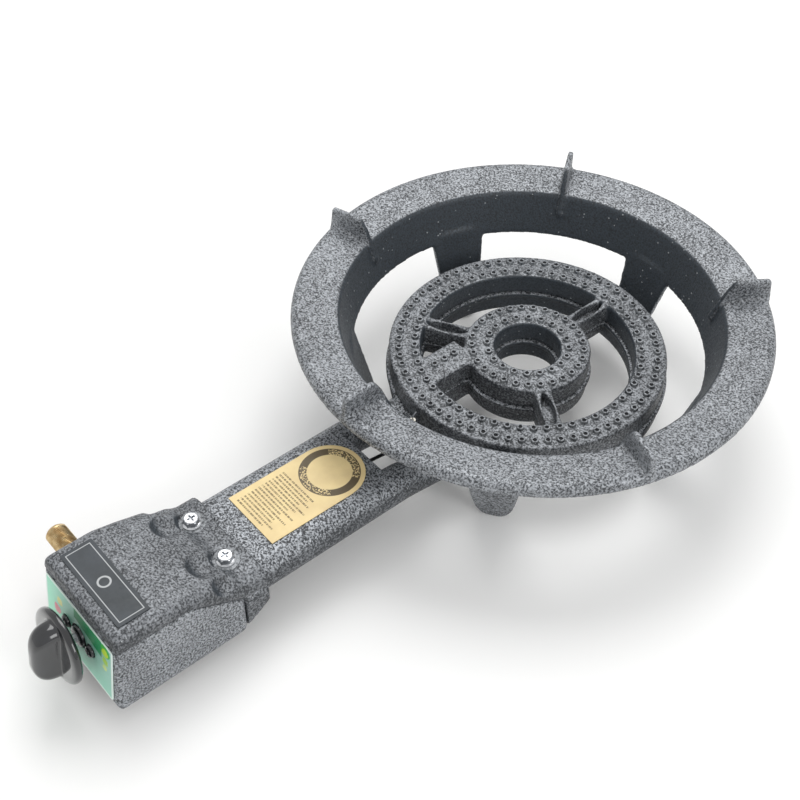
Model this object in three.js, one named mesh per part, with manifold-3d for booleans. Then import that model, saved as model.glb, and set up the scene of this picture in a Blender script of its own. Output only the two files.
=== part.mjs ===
// Cast-iron propane ring burner on a five-legged pot stand.
// Millimetres, +Z up. The pieces are drawn with the burner's axis at x = 0, y = 0 and the feet
// at z = 0, and the whole group is then moved along Y so that its box is centred on the origin.
// The arm runs towards -Y and the knob faces -Y; the gas inlet points to -X.

import * as THREE from "three";
import { mergeGeometries, mergeVertices } from "three/addons/utils/BufferGeometryUtils.js";
import Module from "manifold-3d";

const wasm = await Module();
wasm.setup();

// ---------- driving dimensions ----------
const GAP = 0.3;
const CENTRE_SHIFT_Y = 129.98;

// stand ring
const RIM_RADIUS = 185.8;
const FLANGE_OUTER = 180.5;
const FLANGE_INNER = 148.3;
const FLANGE_TOP = 112;
const FLANGE_INNER_TOP = 107;
const WALL_BOTTOM = 71.3;
const WALL_BOTTOM_RADIUS = 137.4;
const WALL_THICK = 5.6;
const CONE_SLOPE = (FLANGE_INNER - WALL_BOTTOM_RADIUS) / (FLANGE_INNER_TOP - WALL_BOTTOM);
const RING_SIDES = 60;
const SPOKES = 5;
const FIN_THICK = 4.6;
const FIN_TOP = 129;

// burner head
const HEAD_TOP = 68.5;
const HEAD_SPLIT = 50.5;
const OUTER_RING = [84.5, 110];
const INNER_RING = [26, 50];
const HEAD_WALL = 4;
const OUTER_SIDES = 48;
const INNER_SIDES = 32;
const TRAY_LEDGE = 2.2;
const TRAY_BOTTOM = 31;
const TRAY_FLOOR = 36;
const BRIDGE_ANGLES = [90, -30, -150];
const BRIDGE_WIDTH = 13;
const BRIDGE_SCREW_RADIUS = 67;
const PORT_ROWS = [[102, 66], [89.5, 57], [44.3, 29], [32.2, 20]];
const FEED_PORTS_Y = [-71, -61, -51];
const BOSS_HEIGHT = 2;

// arm
const TUBE_X = 29;
const TUBE_Z = 47;
const TUBE_OUTER = 14;
const TUBE_BORE = 10.5;
const TUBE_MOUTH_RADIUS = 12.4;
const TUBE_MOUTH_Y = -318;
const TUBE_SIDES = 16;
const AIR_PORT = { jet: 4.6, radius: 2.6, offset: 7.6 };
const WEB_TOP = 61.3;
const WEB_BOTTOM = 57;
const WEB_END_Y = -167;
const TIE_Y = [-146, -128];
const STAND_BOLT = { x: 9.5, y: -137, hole: 3.3 };

// valve box
const BOX_HALF = 46.5;
const BOX_REAR = -306.3;
const BOX_BOTTOM = 14;
const BOX_WALL = 3;
const PANEL_TILT = THREE.MathUtils.degToRad(8.5);
const VALVE_POINT = new THREE.Vector3(0, -407.8, 51.3);
const COVER_THICK = 4;
const COVER_END_Y = -287.5;
const COVER_SCREW = { x: 20.6, y: -304 };
const SKIRT_SPLIT = 51;
const SHELF_TOP = 62;
const INLET = { y: -377, z: 52, tip: -86, thread: 8.33 };
const BOX_CORNER = 4.5;
const SILL_TOP = 24;
const COVER_FRONT_Y = -403.8;

// valve, knob and gas parts
const VALVE_SCREW_X = 15.4;
const PLUG_RADIUS = 7.95;
const STEM_RADIUS = 3;
const KNOB_BASE = 12.5;
const RAIL = { y: [-365, -353], z: [41, 53] };

// ignition
const LEAD_Z = 51;
const LEAD_RADIUS = 1.4;
const ELECTRODE_Y = -119.4;

// ---------- materials ----------
const finish = (color, roughness, metalness) =>
  new THREE.MeshStandardMaterial({ color, roughness, metalness });
const HAMMER_IRON = () => finish(0x6f7377, 0.55, 0.35);
const DARK_IRON = () => finish(0x4a4e52, 0.6, 0.3);
const ZINC = () => finish(0xc9ccd0, 0.3, 0.9);
const BRASS = () => finish(0xc79a4b, 0.35, 0.9);
const STEEL = () => finish(0x9a9da1, 0.35, 0.9);
const BLACK_PLASTIC = () => finish(0x14161a, 0.2, 0);

// ---------- geometry helpers ----------
const X_AXIS = new THREE.Vector3(1, 0, 0);
const Y_AXIS = new THREE.Vector3(0, 1, 0);
const Z_AXIS = new THREE.Vector3(0, 0, 1);
const rad = (degrees) => THREE.MathUtils.degToRad(degrees);

// A closed solid from a geometry: corners shared, slivers dropped, faces turned outward.
function solid(geometry) {
  const bare = geometry.clone();
  bare.deleteAttribute("normal");
  bare.deleteAttribute("uv");
  const merged = mergeVertices(bare, 1e-4);
  const points = merged.attributes.position.array;
  const triangles = [];
  let volume = 0;
  for (let i = 0; i < merged.index.count; i += 3) {
    const [a, b, c] = [0, 1, 2].map((k) => merged.index.getX(i + k));
    if (a === b || b === c || c === a) continue;
    triangles.push(a, b, c);
    const [p, q, r] = [a, b, c].map((v) => new THREE.Vector3().fromArray(points, 3 * v));
    volume += p.dot(q.cross(r));
  }
  const triVerts = new Uint32Array(triangles);
  if (volume < 0) {
    for (let i = 0; i < triVerts.length; i += 3) {
      [triVerts[i], triVerts[i + 1]] = [triVerts[i + 1], triVerts[i]];
    }
  }
  const vertProperties = new Float32Array(points);
  return new wasm.Manifold(new wasm.Mesh({ numProp: 3, vertProperties, triVerts }));
}

function join(...geometries) {
  return geometries.map(solid).reduce((whole, piece) => whole.add(piece));
}

function geometryOf(body) {
  const { vertProperties, triVerts } = body.getMesh();
  const geometry = new THREE.BufferGeometry();
  geometry.setAttribute("position", new THREE.BufferAttribute(new Float32Array(vertProperties), 3));
  geometry.setIndex(new THREE.BufferAttribute(new Uint32Array(triVerts), 1));
  geometry.computeVertexNormals();
  return geometry;
}

function piece(name, body, material) {
  const mesh = new THREE.Mesh(geometryOf(body), material);
  mesh.name = name;
  return mesh;
}

function closedShape(outline) {
  return new THREE.Shape(outline.map(([x, y]) => new THREE.Vector2(x, y)));
}

function extrude(outline, depth) {
  return new THREE.ExtrudeGeometry(closedShape(outline), { depth, bevelEnabled: false });
}

// An (x, y) outline between two heights.
function prismZ(outline, z0, z1) {
  return extrude(outline, z1 - z0).translate(0, 0, z0);
}

// An (x, z) outline between two stations along Y.
function prismY(outline, y0, y1) {
  const basis = new THREE.Matrix4().makeBasis(X_AXIS, Z_AXIS, Y_AXIS.clone().negate());
  return extrude(outline, y1 - y0).applyMatrix4(basis).translate(0, y1, 0);
}

// A (y, z) outline between two stations along X.
function prismX(outline, x0, x1) {
  const basis = new THREE.Matrix4().makeBasis(Y_AXIS, Z_AXIS, X_AXIS);
  return extrude(outline, x1 - x0).applyMatrix4(basis).translate(x0, 0, 0);
}

function block([x0, x1], [y0, y1], [z0, z1]) {
  return new THREE.BoxGeometry(x1 - x0, y1 - y0, z1 - z0)
    .translate((x0 + x1) / 2, (y0 + y1) / 2, (z0 + z1) / 2);
}

function rod(radius, z0, z1, sides = 24, topRadius = radius) {
  return new THREE.CylinderGeometry(topRadius, radius, z1 - z0, sides)
    .rotateX(Math.PI / 2)
    .translate(0, 0, (z0 + z1) / 2);
}

function rodAlongY(radius, y0, y1, x, z, sides = 24) {
  return rod(radius, y0, y1, sides).rotateX(-Math.PI / 2).translate(x, 0, z);
}

// A closed (radius, height) profile turned about Z.
function turned(profile, sides) {
  const points = [...profile, profile[0]].map(([r, z]) => new THREE.Vector2(r, z));
  return new THREE.LatheGeometry(points, sides).rotateX(Math.PI / 2);
}

function ringBand([inner, outer], z0, z1, sides) {
  return turned([[inner, z0], [outer, z0], [outer, z1], [inner, z1]], sides);
}

function arc(cx, cy, radius, from, to, steps) {
  return Array.from({ length: steps + 1 }, (_, i) => {
    const a = rad(from + ((to - from) * i) / steps);
    return [cx + radius * Math.cos(a), cy + radius * Math.sin(a)];
  });
}

function roundedRect(x0, x1, y0, y1, radius, steps = 3) {
  return [
    ...arc(x1 - radius, y0 + radius, radius, -90, 0, steps),
    ...arc(x1 - radius, y1 - radius, radius, 0, 90, steps),
    ...arc(x0 + radius, y1 - radius, radius, 90, 180, steps),
    ...arc(x0 + radius, y0 + radius, radius, 180, 270, steps),
  ];
}

function hexagon(acrossFlats) {
  return arc(0, 0, acrossFlats / Math.sqrt(3), 0, 300, 5);
}

// A skin over closed loops of equal length, with flat fan caps.
function loft(loops) {
  const count = loops[0].length;
  const index = [];
  for (let s = 0; s + 1 < loops.length; s += 1) {
    for (let i = 0; i < count; i += 1) {
      const [a, b] = [s * count + i, s * count + ((i + 1) % count)];
      index.push(a, b, b + count, a, b + count, a + count);
    }
  }
  const last = (loops.length - 1) * count;
  for (let i = 1; i + 1 < count; i += 1) {
    index.push(0, i + 1, i, last, last + i, last + i + 1);
  }
  const geometry = new THREE.BufferGeometry();
  geometry.setAttribute("position", new THREE.Float32BufferAttribute(loops.flat(2), 3));
  geometry.setIndex(index);
  return geometry;
}

function between(table, at) {
  const next = Math.max(1, table.findIndex(([key]) => key >= at));
  const [[k0, v0], [k1, v1]] = [table[next - 1], table[next]];
  return v0 + ((v1 - v0) * (at - k0)) / (k1 - k0);
}

// ---------- stand ring ----------
const coneRadius = (z) => WALL_BOTTOM_RADIUS + (z - WALL_BOTTOM) * CONE_SLOPE;

function standLeg(angle) {
  const outline = [
    [-24, WALL_BOTTOM + 8], [-23, WALL_BOTTOM - 2], [-17, 24], [-14, 9], [-8, 0],
    [8, 0], [14, 9], [17, 24], [23, WALL_BOTTOM - 2], [24, WALL_BOTTOM + 8],
  ];
  return prismY(outline, -170, -100).rotateZ(rad(angle + 90));
}

function standFin(angle) {
  const outline = [
    [186.9, 104], [186.6, 109], [184.2, 127.5], [182.6, FIN_TOP], [158.5, FIN_TOP],
    [155.5, 127], [150, 117.5], [146.3, 108], [139.3, 90], [144.5, 89],
    [152, 104], [184, 104],
  ];
  return prismX(outline, -FIN_THICK / 2, FIN_THICK / 2).rotateZ(rad(angle - 90));
}

function standRing() {
  const funnel = turned([
    [WALL_BOTTOM_RADIUS, WALL_BOTTOM], [WALL_BOTTOM_RADIUS + WALL_THICK, WALL_BOTTOM],
    [coneRadius(97) + WALL_THICK, 97], [157.5, 100], [RIM_RADIUS - 0.8, 102.6],
    [RIM_RADIUS, 104.2], [RIM_RADIUS - 0.5, 107.5], [RIM_RADIUS - 2, 110.4],
    [FLANGE_OUTER, FLANGE_TOP], [FLANGE_INNER + 1.6, FLANGE_INNER_TOP + 0.4],
    [FLANGE_INNER, FLANGE_INNER_TOP - 0.8],
  ], RING_SIDES);
  const skirt = solid(turned([
    [coneRadius(0), 0], [coneRadius(0) + WALL_THICK, 0],
    [coneRadius(80) + WALL_THICK, 80], [coneRadius(80), 80],
  ], RING_SIDES));
  const step = 360 / SPOKES;
  const angles = Array.from({ length: SPOKES }, (_, i) => -90 + i * step);
  const legs = angles.map((a) => solid(standLeg(a + step / 2)))
    .reduce((all, leg) => all.add(leg));
  const lug = block([-18, 18], [-149, -127], [WEB_BOTTOM + GAP, WALL_BOTTOM + 2]);
  let body = solid(funnel).add(skirt.intersect(legs));
  body = body.add(join(lug, ...angles.map(standFin)));
  for (const x of [-STAND_BOLT.x, STAND_BOLT.x]) {
    const hole = rod(STAND_BOLT.hole - 0.4, 50, 70, 12).translate(x, STAND_BOLT.y, 0);
    body = body.subtract(solid(hole));
  }
  return piece("stand_ring", body, HAMMER_IRON());
}

// ---------- burner head ----------
const FEED_X = [-TUBE_X - 13.5, -TUBE_X + 13.5];
const FEED_INSIDE_X = [-TUBE_X - 10, -TUBE_X + 10];

function innerOf([inner, outer]) {
  return [inner + HEAD_WALL, outer - HEAD_WALL];
}

// The hollow of the head: two annular chambers, the outer one parted by the feed duct.
function headHollow(z0, z1) {
  const outer = solid(ringBand(innerOf(OUTER_RING), z0, z1, OUTER_SIDES));
  const inner = solid(ringBand(innerOf(INNER_RING), z0, z1, INNER_SIDES));
  const ductWalls = solid(block(FEED_X, [-120, -40], [z0 - 1, z1 + 1]));
  const duct = solid(block(FEED_INSIDE_X, [-102, -42], [z0, z1]));
  return outer.subtract(ductWalls).add(inner).add(duct);
}

function bridgeBar(angle, width, z0, z1) {
  return block([INNER_RING[1] - 3, OUTER_RING[0] + 3], [-width / 2, width / 2], [z0, z1])
    .rotateZ(rad(angle));
}

function bridgeScrewAt(geometry, angle) {
  return geometry.translate(BRIDGE_SCREW_RADIUS, 0, 0).rotateZ(rad(angle));
}

function leafPocket(angle) {
  const [start, end, half] = [48.6, 86, 4.6];
  const [middle, reach] = [(start + end) / 2, (end - start) / 2];
  const side = (sign) => Array.from({ length: 6 }, (_, i) => {
    const t = -1 + (i * 2) / 6;
    return [middle + sign * t * reach, sign * -half * (1 - t * t)];
  });
  return prismZ([...side(1), ...side(-1)], 59, 72).rotateZ(rad(angle));
}

function portBosses() {
  const boss = (x, y) => rod(3.1, HEAD_TOP - 0.2, HEAD_TOP + BOSS_HEIGHT, 4, 2.3)
    .translate(x, y, 0);
  const rows = PORT_ROWS.flatMap(([radius, count]) =>
    Array.from({ length: count }, (_, i) => {
      const a = (2 * Math.PI * (i + 0.5)) / count;
      return boss(radius * Math.cos(a), radius * Math.sin(a));
    }));
  return mergeGeometries([...rows, ...FEED_PORTS_Y.map((y) => boss(-TUBE_X - 1.5, y))]);
}

function burnerTop() {
  const edge = 1.4;
  const ring = ([inner, outer], sides) => turned([
    [inner, HEAD_SPLIT], [outer, HEAD_SPLIT], [outer, HEAD_TOP - edge], [outer - edge, HEAD_TOP],
    [inner + edge, HEAD_TOP], [inner, HEAD_TOP - edge],
  ], sides);
  const feed = block(FEED_X, [-90, -40], [HEAD_SPLIT, HEAD_TOP]);
  const hub = solid(rod(INNER_RING[0] + 1, 40, 80, INNER_SIDES));
  let body = join(ring(OUTER_RING, OUTER_SIDES), ring(INNER_RING, INNER_SIDES));
  body = body.add(solid(feed).subtract(hub));
  body = body.add(join(...BRIDGE_ANGLES.map((a) => bridgeBar(a, BRIDGE_WIDTH, HEAD_SPLIT, 66.8))));
  body = body.subtract(headHollow(HEAD_SPLIT - 1, HEAD_TOP - HEAD_WALL));
  for (const angle of BRIDGE_ANGLES) {
    body = body.subtract(solid(leafPocket(angle)));
    body = body.subtract(solid(bridgeScrewAt(rod(2.4, 50, 57.6, 12), angle)));
  }
  return piece("burner_top", body.add(solid(portBosses())), DARK_IRON());
}

// ---------- body casting: trays, mixing tubes, arm and saddle ----------
function trayRing([inner, outer], sides) {
  const ledge = HEAD_SPLIT - GAP;
  return turned([
    [inner + 3, TRAY_BOTTOM], [outer - 3, TRAY_BOTTOM], [outer, TRAY_BOTTOM + 3],
    [outer, ledge - 3.6], [outer + TRAY_LEDGE, ledge - 3.6], [outer + TRAY_LEDGE, ledge],
    [inner - TRAY_LEDGE, ledge], [inner - TRAY_LEDGE, ledge - 3.6], [inner, ledge - 3.6],
    [inner, TRAY_BOTTOM + 3],
  ], sides);
}

// A mixing tube: round along the arm, flattened where it dips under the head's split line.
function mixingTube(x, mouthRadius, radius, flatHalf, y0, y1) {
  const stations = [[y0, 0, mouthRadius], [-309, 0, mouthRadius], [-306, 0, radius],
    [-158, 0, radius], [-140, 0.35, radius], [-124, 0.85, radius], [y1, 1, radius]];
  return loft(stations.map(([y, flat, width]) => {
    const half = width + (flatHalf - width) * flat;
    const centre = TUBE_Z + (40.4 - TUBE_Z) * flat;
    return Array.from({ length: TUBE_SIDES }, (_, i) => {
      const a = (2 * Math.PI * i) / TUBE_SIDES;
      return [x + width * Math.cos(a), y, centre + half * Math.sin(a)];
    });
  }));
}

function saddle() {
  const collar = prismX([
    [-306, 15.5], [-296, 22], [-287, 29], [-287, SKIRT_SPLIT - GAP], [-306, SKIRT_SPLIT - GAP],
  ], -BOX_HALF, BOX_HALF);
  const trim = prismY(roundedRect(-BOX_HALF + 0.3, BOX_HALF - 0.3, 15, 80, 9), -307, -286);
  const shelf = prismY([
    [-42, SKIRT_SPLIT - 2], [42, SKIRT_SPLIT - 2], [42, SHELF_TOP - 7.5], [35, SHELF_TOP],
    [-35, SHELF_TOP], [-42, SHELF_TOP - 7.5],
  ], -309.5, -287);
  const hollow = block([-41, 41], [-314, -291.5], [14, WEB_BOTTOM - 1]);
  return solid(collar).intersect(solid(trim)).add(solid(shelf)).subtract(solid(hollow));
}

function burnerBody() {
  const half = TUBE_OUTER - 4.6;
  const boreHalf = TUBE_BORE - 4.6;
  const sides = [-1, 1];
  let body = join(trayRing(OUTER_RING, OUTER_SIDES), trayRing(INNER_RING, INNER_SIDES));
  const feed = block(FEED_X, [-100, -44], [TRAY_BOTTOM, HEAD_SPLIT - GAP]);
  body = body.add(solid(feed).subtract(solid(rod(INNER_RING[0] + 1, 20, 60, INNER_SIDES))));
  body = body.add(join(...BRIDGE_ANGLES.map((a) =>
    bridgeBar(a, BRIDGE_WIDTH, 39, HEAD_SPLIT - GAP))));
  const web = block([-TUBE_X, TUBE_X], [-300, WEB_END_Y], [WEB_BOTTOM, WEB_TOP]);
  const tie = block([-20, 20], TIE_Y, [50.5, WEB_BOTTOM]);
  body = body.add(saddle()).add(join(web, tie));
  for (const s of sides) {
    const tube = mixingTube(s * TUBE_X, TUBE_MOUTH_RADIUS, TUBE_OUTER, half, TUBE_MOUTH_Y, -99);
    body = body.add(solid(tube));
  }
  body = body.subtract(headHollow(TRAY_FLOOR, HEAD_SPLIT + 1));
  for (const s of sides) {
    const bore = mixingTube(s * TUBE_X, TUBE_BORE, TUBE_BORE, boreHalf, TUBE_MOUTH_Y + 2, -98);
    const coverHole = rod(2.5, 53, 70, 12).translate(s * COVER_SCREW.x, COVER_SCREW.y, 0);
    const boltHole = rod(STAND_BOLT.hole, 45, 60, 12).translate(s * STAND_BOLT.x, STAND_BOLT.y, 0);
    const jetHole = rodAlongY(AIR_PORT.jet, TUBE_MOUTH_Y - 1, TUBE_MOUTH_Y + 3, s * TUBE_X, TUBE_Z);
    body = body.subtract(join(bore, coverHole, boltHole, jetHole));
    for (const up of [-1, 1]) {
      const z = TUBE_Z + up * AIR_PORT.offset;
      const port = rodAlongY(AIR_PORT.radius, TUBE_MOUTH_Y - 1, TUBE_MOUTH_Y + 3, s * TUBE_X, z, 12);
      body = body.subtract(solid(port));
    }
  }
  for (const angle of BRIDGE_ANGLES) {
    body = body.subtract(solid(bridgeScrewAt(rod(2.9, 30, 60, 12), angle)));
  }
  body = body.subtract(solid(rodAlongY(3.2, -320, -280, 0, LEAD_Z, 12)));
  return piece("burner_body", body, HAMMER_IRON());
}

// ---------- valve box ----------
const panelY = (z) => VALVE_POINT.y + (z - VALVE_POINT.z) * Math.tan(PANEL_TILT);

function boxShell(inset, floor, top) {
  const levels = [[floor, 5], [floor + 1.6, 1.6], [floor + 5, 0], [top, 0]];
  return loft(levels.map(([z, round]) => {
    const step = inset + round;
    const loop = roundedRect(-BOX_HALF + step, BOX_HALF - step,
      panelY(z) + step, BOX_REAR - step, BOX_CORNER - Math.min(inset, 3));
    return loop.map(([x, y]) => [x, y, z]);
  }));
}

function inPanelFrame(geometry) {
  return geometry.rotateX(Math.PI / 2 - PANEL_TILT).translate(...VALVE_POINT.toArray());
}

function boxBase() {
  let body = solid(boxShell(0, BOX_BOTTOM, 92));
  body = body.subtract(solid(boxShell(BOX_WALL, BOX_BOTTOM + BOX_WALL, 95)));
  const above = prismX([
    [-430, 75.7], [-349, 75.7], [-305, SKIRT_SPLIT - GAP], [-290, SKIRT_SPLIT - GAP], [-290, 99],
    [-430, 99],
  ], -60, 60);
  const airOpening = prismZ(roundedRect(-28, 28, -388, -330, 8), 10, 20);
  const sill = block([-37.5, 37.5], [-425, -398], [0, SILL_TOP]);
  body = body.subtract(join(above, airOpening, sill));
  body = body.subtract(solid(inPanelFrame(rod(9, -8, 4))));
  for (const s of [-1, 1]) {
    const screwHole = inPanelFrame(rod(2.4, -8, 4, 12).translate(s * VALVE_SCREW_X, 0, 0));
    const mouth = rodAlongY(TUBE_OUTER + 0.4, -315, -300, s * TUBE_X, TUBE_Z);
    body = body.subtract(join(screwHole, mouth));
  }
  const inletHole = rod(INLET.thread + 0.4, -52, -38).rotateY(Math.PI / 2)
    .translate(0, INLET.y, INLET.z);
  const shelfNotch = block([-43.4, 43.4], [-315, -300], [SKIRT_SPLIT - 4.5, 60]);
  body = body.subtract(join(inletHole, shelfNotch));
  return piece("box_base", body, HAMMER_IRON());
}

const COVER_CROWN = [
  [-406, 88], [-367, 88], [-349, 84.5], [-330, 79.5], [-314, 72.5], [-306, 67.5], [-301, 66.3],
  [-280, 66.3],
];
const COVER_SKIRT = [
  [-406, 76], [-349, 76], [-305, SKIRT_SPLIT], [-280, SKIRT_SPLIT],
];

function coverBlock(inset, drop, front, rear) {
  const stations = [
    [front, 5.2], [front + 1.6, 1.7], [front + 5, 0], [-367, 0], [-349, 0], [-330, 0],
    [-314, 0], [-306, 0], [-301, 0], [rear, 0],
  ];
  return loft(stations.map(([y, round]) => {
    const half = BOX_HALF - 0.9 * inset - 0.35 * round;
    const crown = between(COVER_CROWN, y) - inset - round;
    const corner = 8 - 0.5 * inset;
    const skirt = between(COVER_SKIRT, y) - drop;
    return [
      [half, y, skirt],
      ...arc(half - corner, crown - corner, corner, 0, 90, 4).map(([x, z]) => [x, y, z]),
      ...arc(-half + corner, crown - corner, corner, 90, 180, 4).map(([x, z]) => [x, y, z]),
      [-half, y, skirt],
    ];
  }));
}

function boxCover() {
  let body = solid(coverBlock(0, 0, COVER_FRONT_Y, COVER_END_Y));
  body = body.subtract(solid(coverBlock(COVER_THICK, 20, COVER_FRONT_Y + COVER_THICK, -281)));
  for (const s of [-1, 1]) {
    const seatAt = (geometry) => geometry.translate(s * COVER_SCREW.x, COVER_SCREW.y, 0);
    body = body.subtract(solid(seatAt(rod(9.4, 66.3, 90, 20, 12.5))));
    body = body.add(solid(seatAt(rod(9.8, 62.3, 66.3, 20))));
    body = body.subtract(solid(seatAt(rod(2.8, 60, 70, 12))));
  }
  const slot = block([-14, 14], [-300, -280], [60, 64.6]);
  return piece("box_cover", body.subtract(solid(slot)), HAMMER_IRON());
}

// ---------- screws ----------
function crossRecess(z0, z1, reach) {
  return join(block([-reach, reach], [-0.6, 0.6], [z0, z1]),
    block([-0.6, 0.6], [-reach, reach], [z0, z1]));
}

function flangeScrew(name, shank, grip, material) {
  const flange = rod(7, 0, 1.3, 24, 6.6);
  const head = prismZ(hexagon(10.4), 1.2, 6);
  const body = join(rod(shank, -grip, 0.2, 12), flange, head).subtract(crossRecess(3.6, 8, 2.9));
  return piece(name, body, material);
}

function hexBolt(name, shank, reach, headHeight, acrossFlats) {
  const head = prismZ(hexagon(acrossFlats), -headHeight, 0);
  return piece(name, join(rod(shank, -0.2, reach, 12), head), ZINC());
}

function panHeadScrew(name, shank, reach, head, height) {
  const cap = turned([[0, 0], [head, 0], [head, height * 0.5], [head * 0.75, height],
    [0, height]], 16);
  const body = join(rod(shank, -reach, 0.2, 12), cap)
    .subtract(crossRecess(height - 1.2, height + 2, head * 0.55));
  return piece(name, body, ZINC());
}

function fasteners() {
  const group = new THREE.Group();
  for (const [side, s] of [["left", -1], ["right", 1]]) {
    const cover = flangeScrew(`cover_screw_${side}`, 2.1, 12, ZINC());
    cover.position.set(s * COVER_SCREW.x, COVER_SCREW.y, 66.3 + GAP);
    const stand = hexBolt(`stand_bolt_${side}`, 2.6, 18, 4, 10);
    stand.position.set(s * STAND_BOLT.x, STAND_BOLT.y, 50.5 - GAP);
    group.add(cover, stand);
  }
  BRIDGE_ANGLES.forEach((angle, i) => {
    const screw = hexBolt(`head_screw_${i + 1}`, 2.1, 18, 3.5, 8);
    screw.position.set(BRIDGE_SCREW_RADIUS * Math.cos(rad(angle)),
      BRIDGE_SCREW_RADIUS * Math.sin(rad(angle)), 39 - GAP);
    group.add(screw);
  });
  return group;
}

// ---------- valve, knob and gas parts ----------
// These are drawn in the panel's frame: z runs out of the panel along the knob's axis.
function valveBody() {
  const shell = prismZ(roundedRect(-15, 15, -14, 14, 4), -38, -BOX_WALL - GAP);
  const plate = prismZ(roundedRect(-19, 19, -9, 9, 4), -7.5, -BOX_WALL - GAP);
  let body = join(shell, plate);
  body = body.subtract(join(rod(8.1, -34, 0), rod(3, -40, -30, 12)));
  const side = rod(4.4, -30, -6, 12).rotateY(Math.PI / 2).translate(0, 4, -31);
  body = body.subtract(solid(side));
  for (const s of [-1, 1]) {
    body = body.subtract(solid(rod(2.2, -16, 0, 12).translate(s * VALVE_SCREW_X, 0, 0)));
  }
  return piece("valve_body", body, BRASS());
}

function valvePlug() {
  let body = solid(rod(PLUG_RADIUS, -33.6, -20));
  body = body.subtract(solid(block([-3.4, 3.4], [-1.5, 1.5], [-25, -19])));
  body = body.subtract(solid(rod(2.6, -9, 9, 10).rotateY(Math.PI / 2).translate(0, 0, -28.5)));
  body = body.subtract(solid(rod(2.6, -35, -28, 10)));
  return piece("valve_plug", body, BRASS());
}

function valveGland() {
  const body = solid(turned([
    [6, -12], [7.7, -12], [7.7, -2], [8.3, -2], [8.3, 0.4], [7.6, 2.6], [5.2, 3.2],
    [3.12, 3.2], [3.12, -5.5], [6, -5.5],
  ], 24));
  return piece("valve_gland", body, STEEL());
}

function valveStem() {
  const shaft = join(rod(STEM_RADIUS, -16.5, 25), rod(5.6, -8, -6));
  const flat = block([1.9, 5], [-5, 5], [4, 30]);
  const tongue = block([-2.8, 2.8], [-1.1, 1.1], [-21.5, -16]);
  return piece("valve_stem", shaft.subtract(solid(flat)).add(solid(tongue)), STEEL());
}

function knob() {
  const disc = turned([
    [0, 0], [25, 0], [27.5, 1], [28, 2.6], [27.8, 4.4], [26.4, 5.8], [23, 6.6], [0, 7.2],
  ], 40).translate(0, 0, KNOB_BASE);
  const levels = [[5, 24.6, 9.6], [12, 24.2, 8.8], [18, 22, 7.8], [22, 18, 6.4], [24, 12.6, 4.6]];
  const grip = loft(levels.map(([z, long, wide]) =>
    roundedRect(-wide, wide, -long, long, wide * 0.8, 4).map(([x, y]) => [x, y, KNOB_BASE + z])));
  const socket = rod(STEM_RADIUS + GAP, KNOB_BASE - 1, 25.5);
  return piece("knob", join(disc, grip).subtract(solid(socket)), BLACK_PLASTIC());
}

function returnSpring() {
  const coil = turned([[3.5, -19.7], [5.2, -19.7], [5.2, -11.4], [3.5, -11.4]], 16);
  return piece("return_spring", solid(coil), STEEL());
}

function frontDecal() {
  let body = solid(prismZ(roundedRect(-41.8, 41.8, -24.8, 24.2, 2.5), GAP, GAP + 0.6));
  body = body.subtract(solid(rod(9.4, -2, 4)));
  for (const s of [-1, 1]) {
    body = body.subtract(solid(rod(5.4, -2, 4, 16).translate(s * VALVE_SCREW_X, 0, 0)));
  }
  return piece("front_decal", body, finish(0x8fd3ae, 0.4, 0));
}

function valveScrews() {
  return [["left", -1], ["right", 1]].map(([side, s]) => {
    const screw = panHeadScrew(`valve_screw_${side}`, 1.9, 14, 4.6, 3.4);
    screw.position.set(s * VALVE_SCREW_X, 0, GAP);
    return screw;
  });
}

function igniterBody() {
  const body = prismZ(roundedRect(17, 31, -26, -12, 2), -38, -BOX_WALL - GAP);
  return piece("igniter_body", solid(body), finish(0x22252a, 0.5, 0));
}

function valveGroup() {
  const group = new THREE.Group();
  group.position.copy(VALVE_POINT);
  group.rotation.x = Math.PI / 2 - PANEL_TILT;
  group.add(valveBody(), valvePlug(), valveGland(), valveStem(), knob());
  group.add(returnSpring(), frontDecal(), ...valveScrews(), igniterBody());
  return group;
}

function gasRail() {
  const bar = block([-35, 35], RAIL.y, RAIL.z);
  const neck = rodAlongY(6, -369, -360, 0, 46);
  const behind = inPanelFrame(block([-30, 30], [-30, 30], [-38 - GAP, -20]));
  let body = join(bar, neck).subtract(solid(behind));
  const gallery = rod(3, -31, 31, 12).rotateY(Math.PI / 2).translate(0, -359, TUBE_Z);
  body = body.subtract(join(gallery, rodAlongY(3, -380, -359, 0, 46, 12)));
  for (const s of [-1, 1]) {
    body = body.subtract(solid(rodAlongY(3.6, -358, -350, s * TUBE_X, TUBE_Z, 12)));
  }
  return piece("gas_rail", body, BRASS());
}

function injector(side, s) {
  const profile = turned([[0.8, -5], [3.2, -5], [3.2, 0], [5, 0], [5, 6], [3.4, 7], [2.4, 13],
    [0.8, 13]], 12).rotateX(-Math.PI / 2);
  const mesh = piece(`injector_${side}`, solid(profile), BRASS());
  mesh.position.set(s * TUBE_X, RAIL.y[1] + GAP, TUBE_Z);
  return mesh;
}

function airShutter(side, s) {
  const sleeve = TUBE_MOUTH_RADIUS + 0.14;
  const plate = turned([
    [AIR_PORT.jet, -1.6], [14, -1.6], [14, 7], [sleeve, 7], [sleeve, 0], [AIR_PORT.jet, 0],
  ], 32);
  let body = solid(plate);
  for (const up of [-1, 1]) {
    const window = rod(AIR_PORT.radius, -5, 2, 12).translate(0, up * AIR_PORT.offset, 0);
    body = body.subtract(solid(window));
  }
  const mesh = piece(`air_shutter_${side}`, body, ZINC());
  mesh.position.set(s * TUBE_X, TUBE_MOUTH_Y - GAP, TUBE_Z);
  mesh.rotation.x = -Math.PI / 2;
  return mesh;
}

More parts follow.
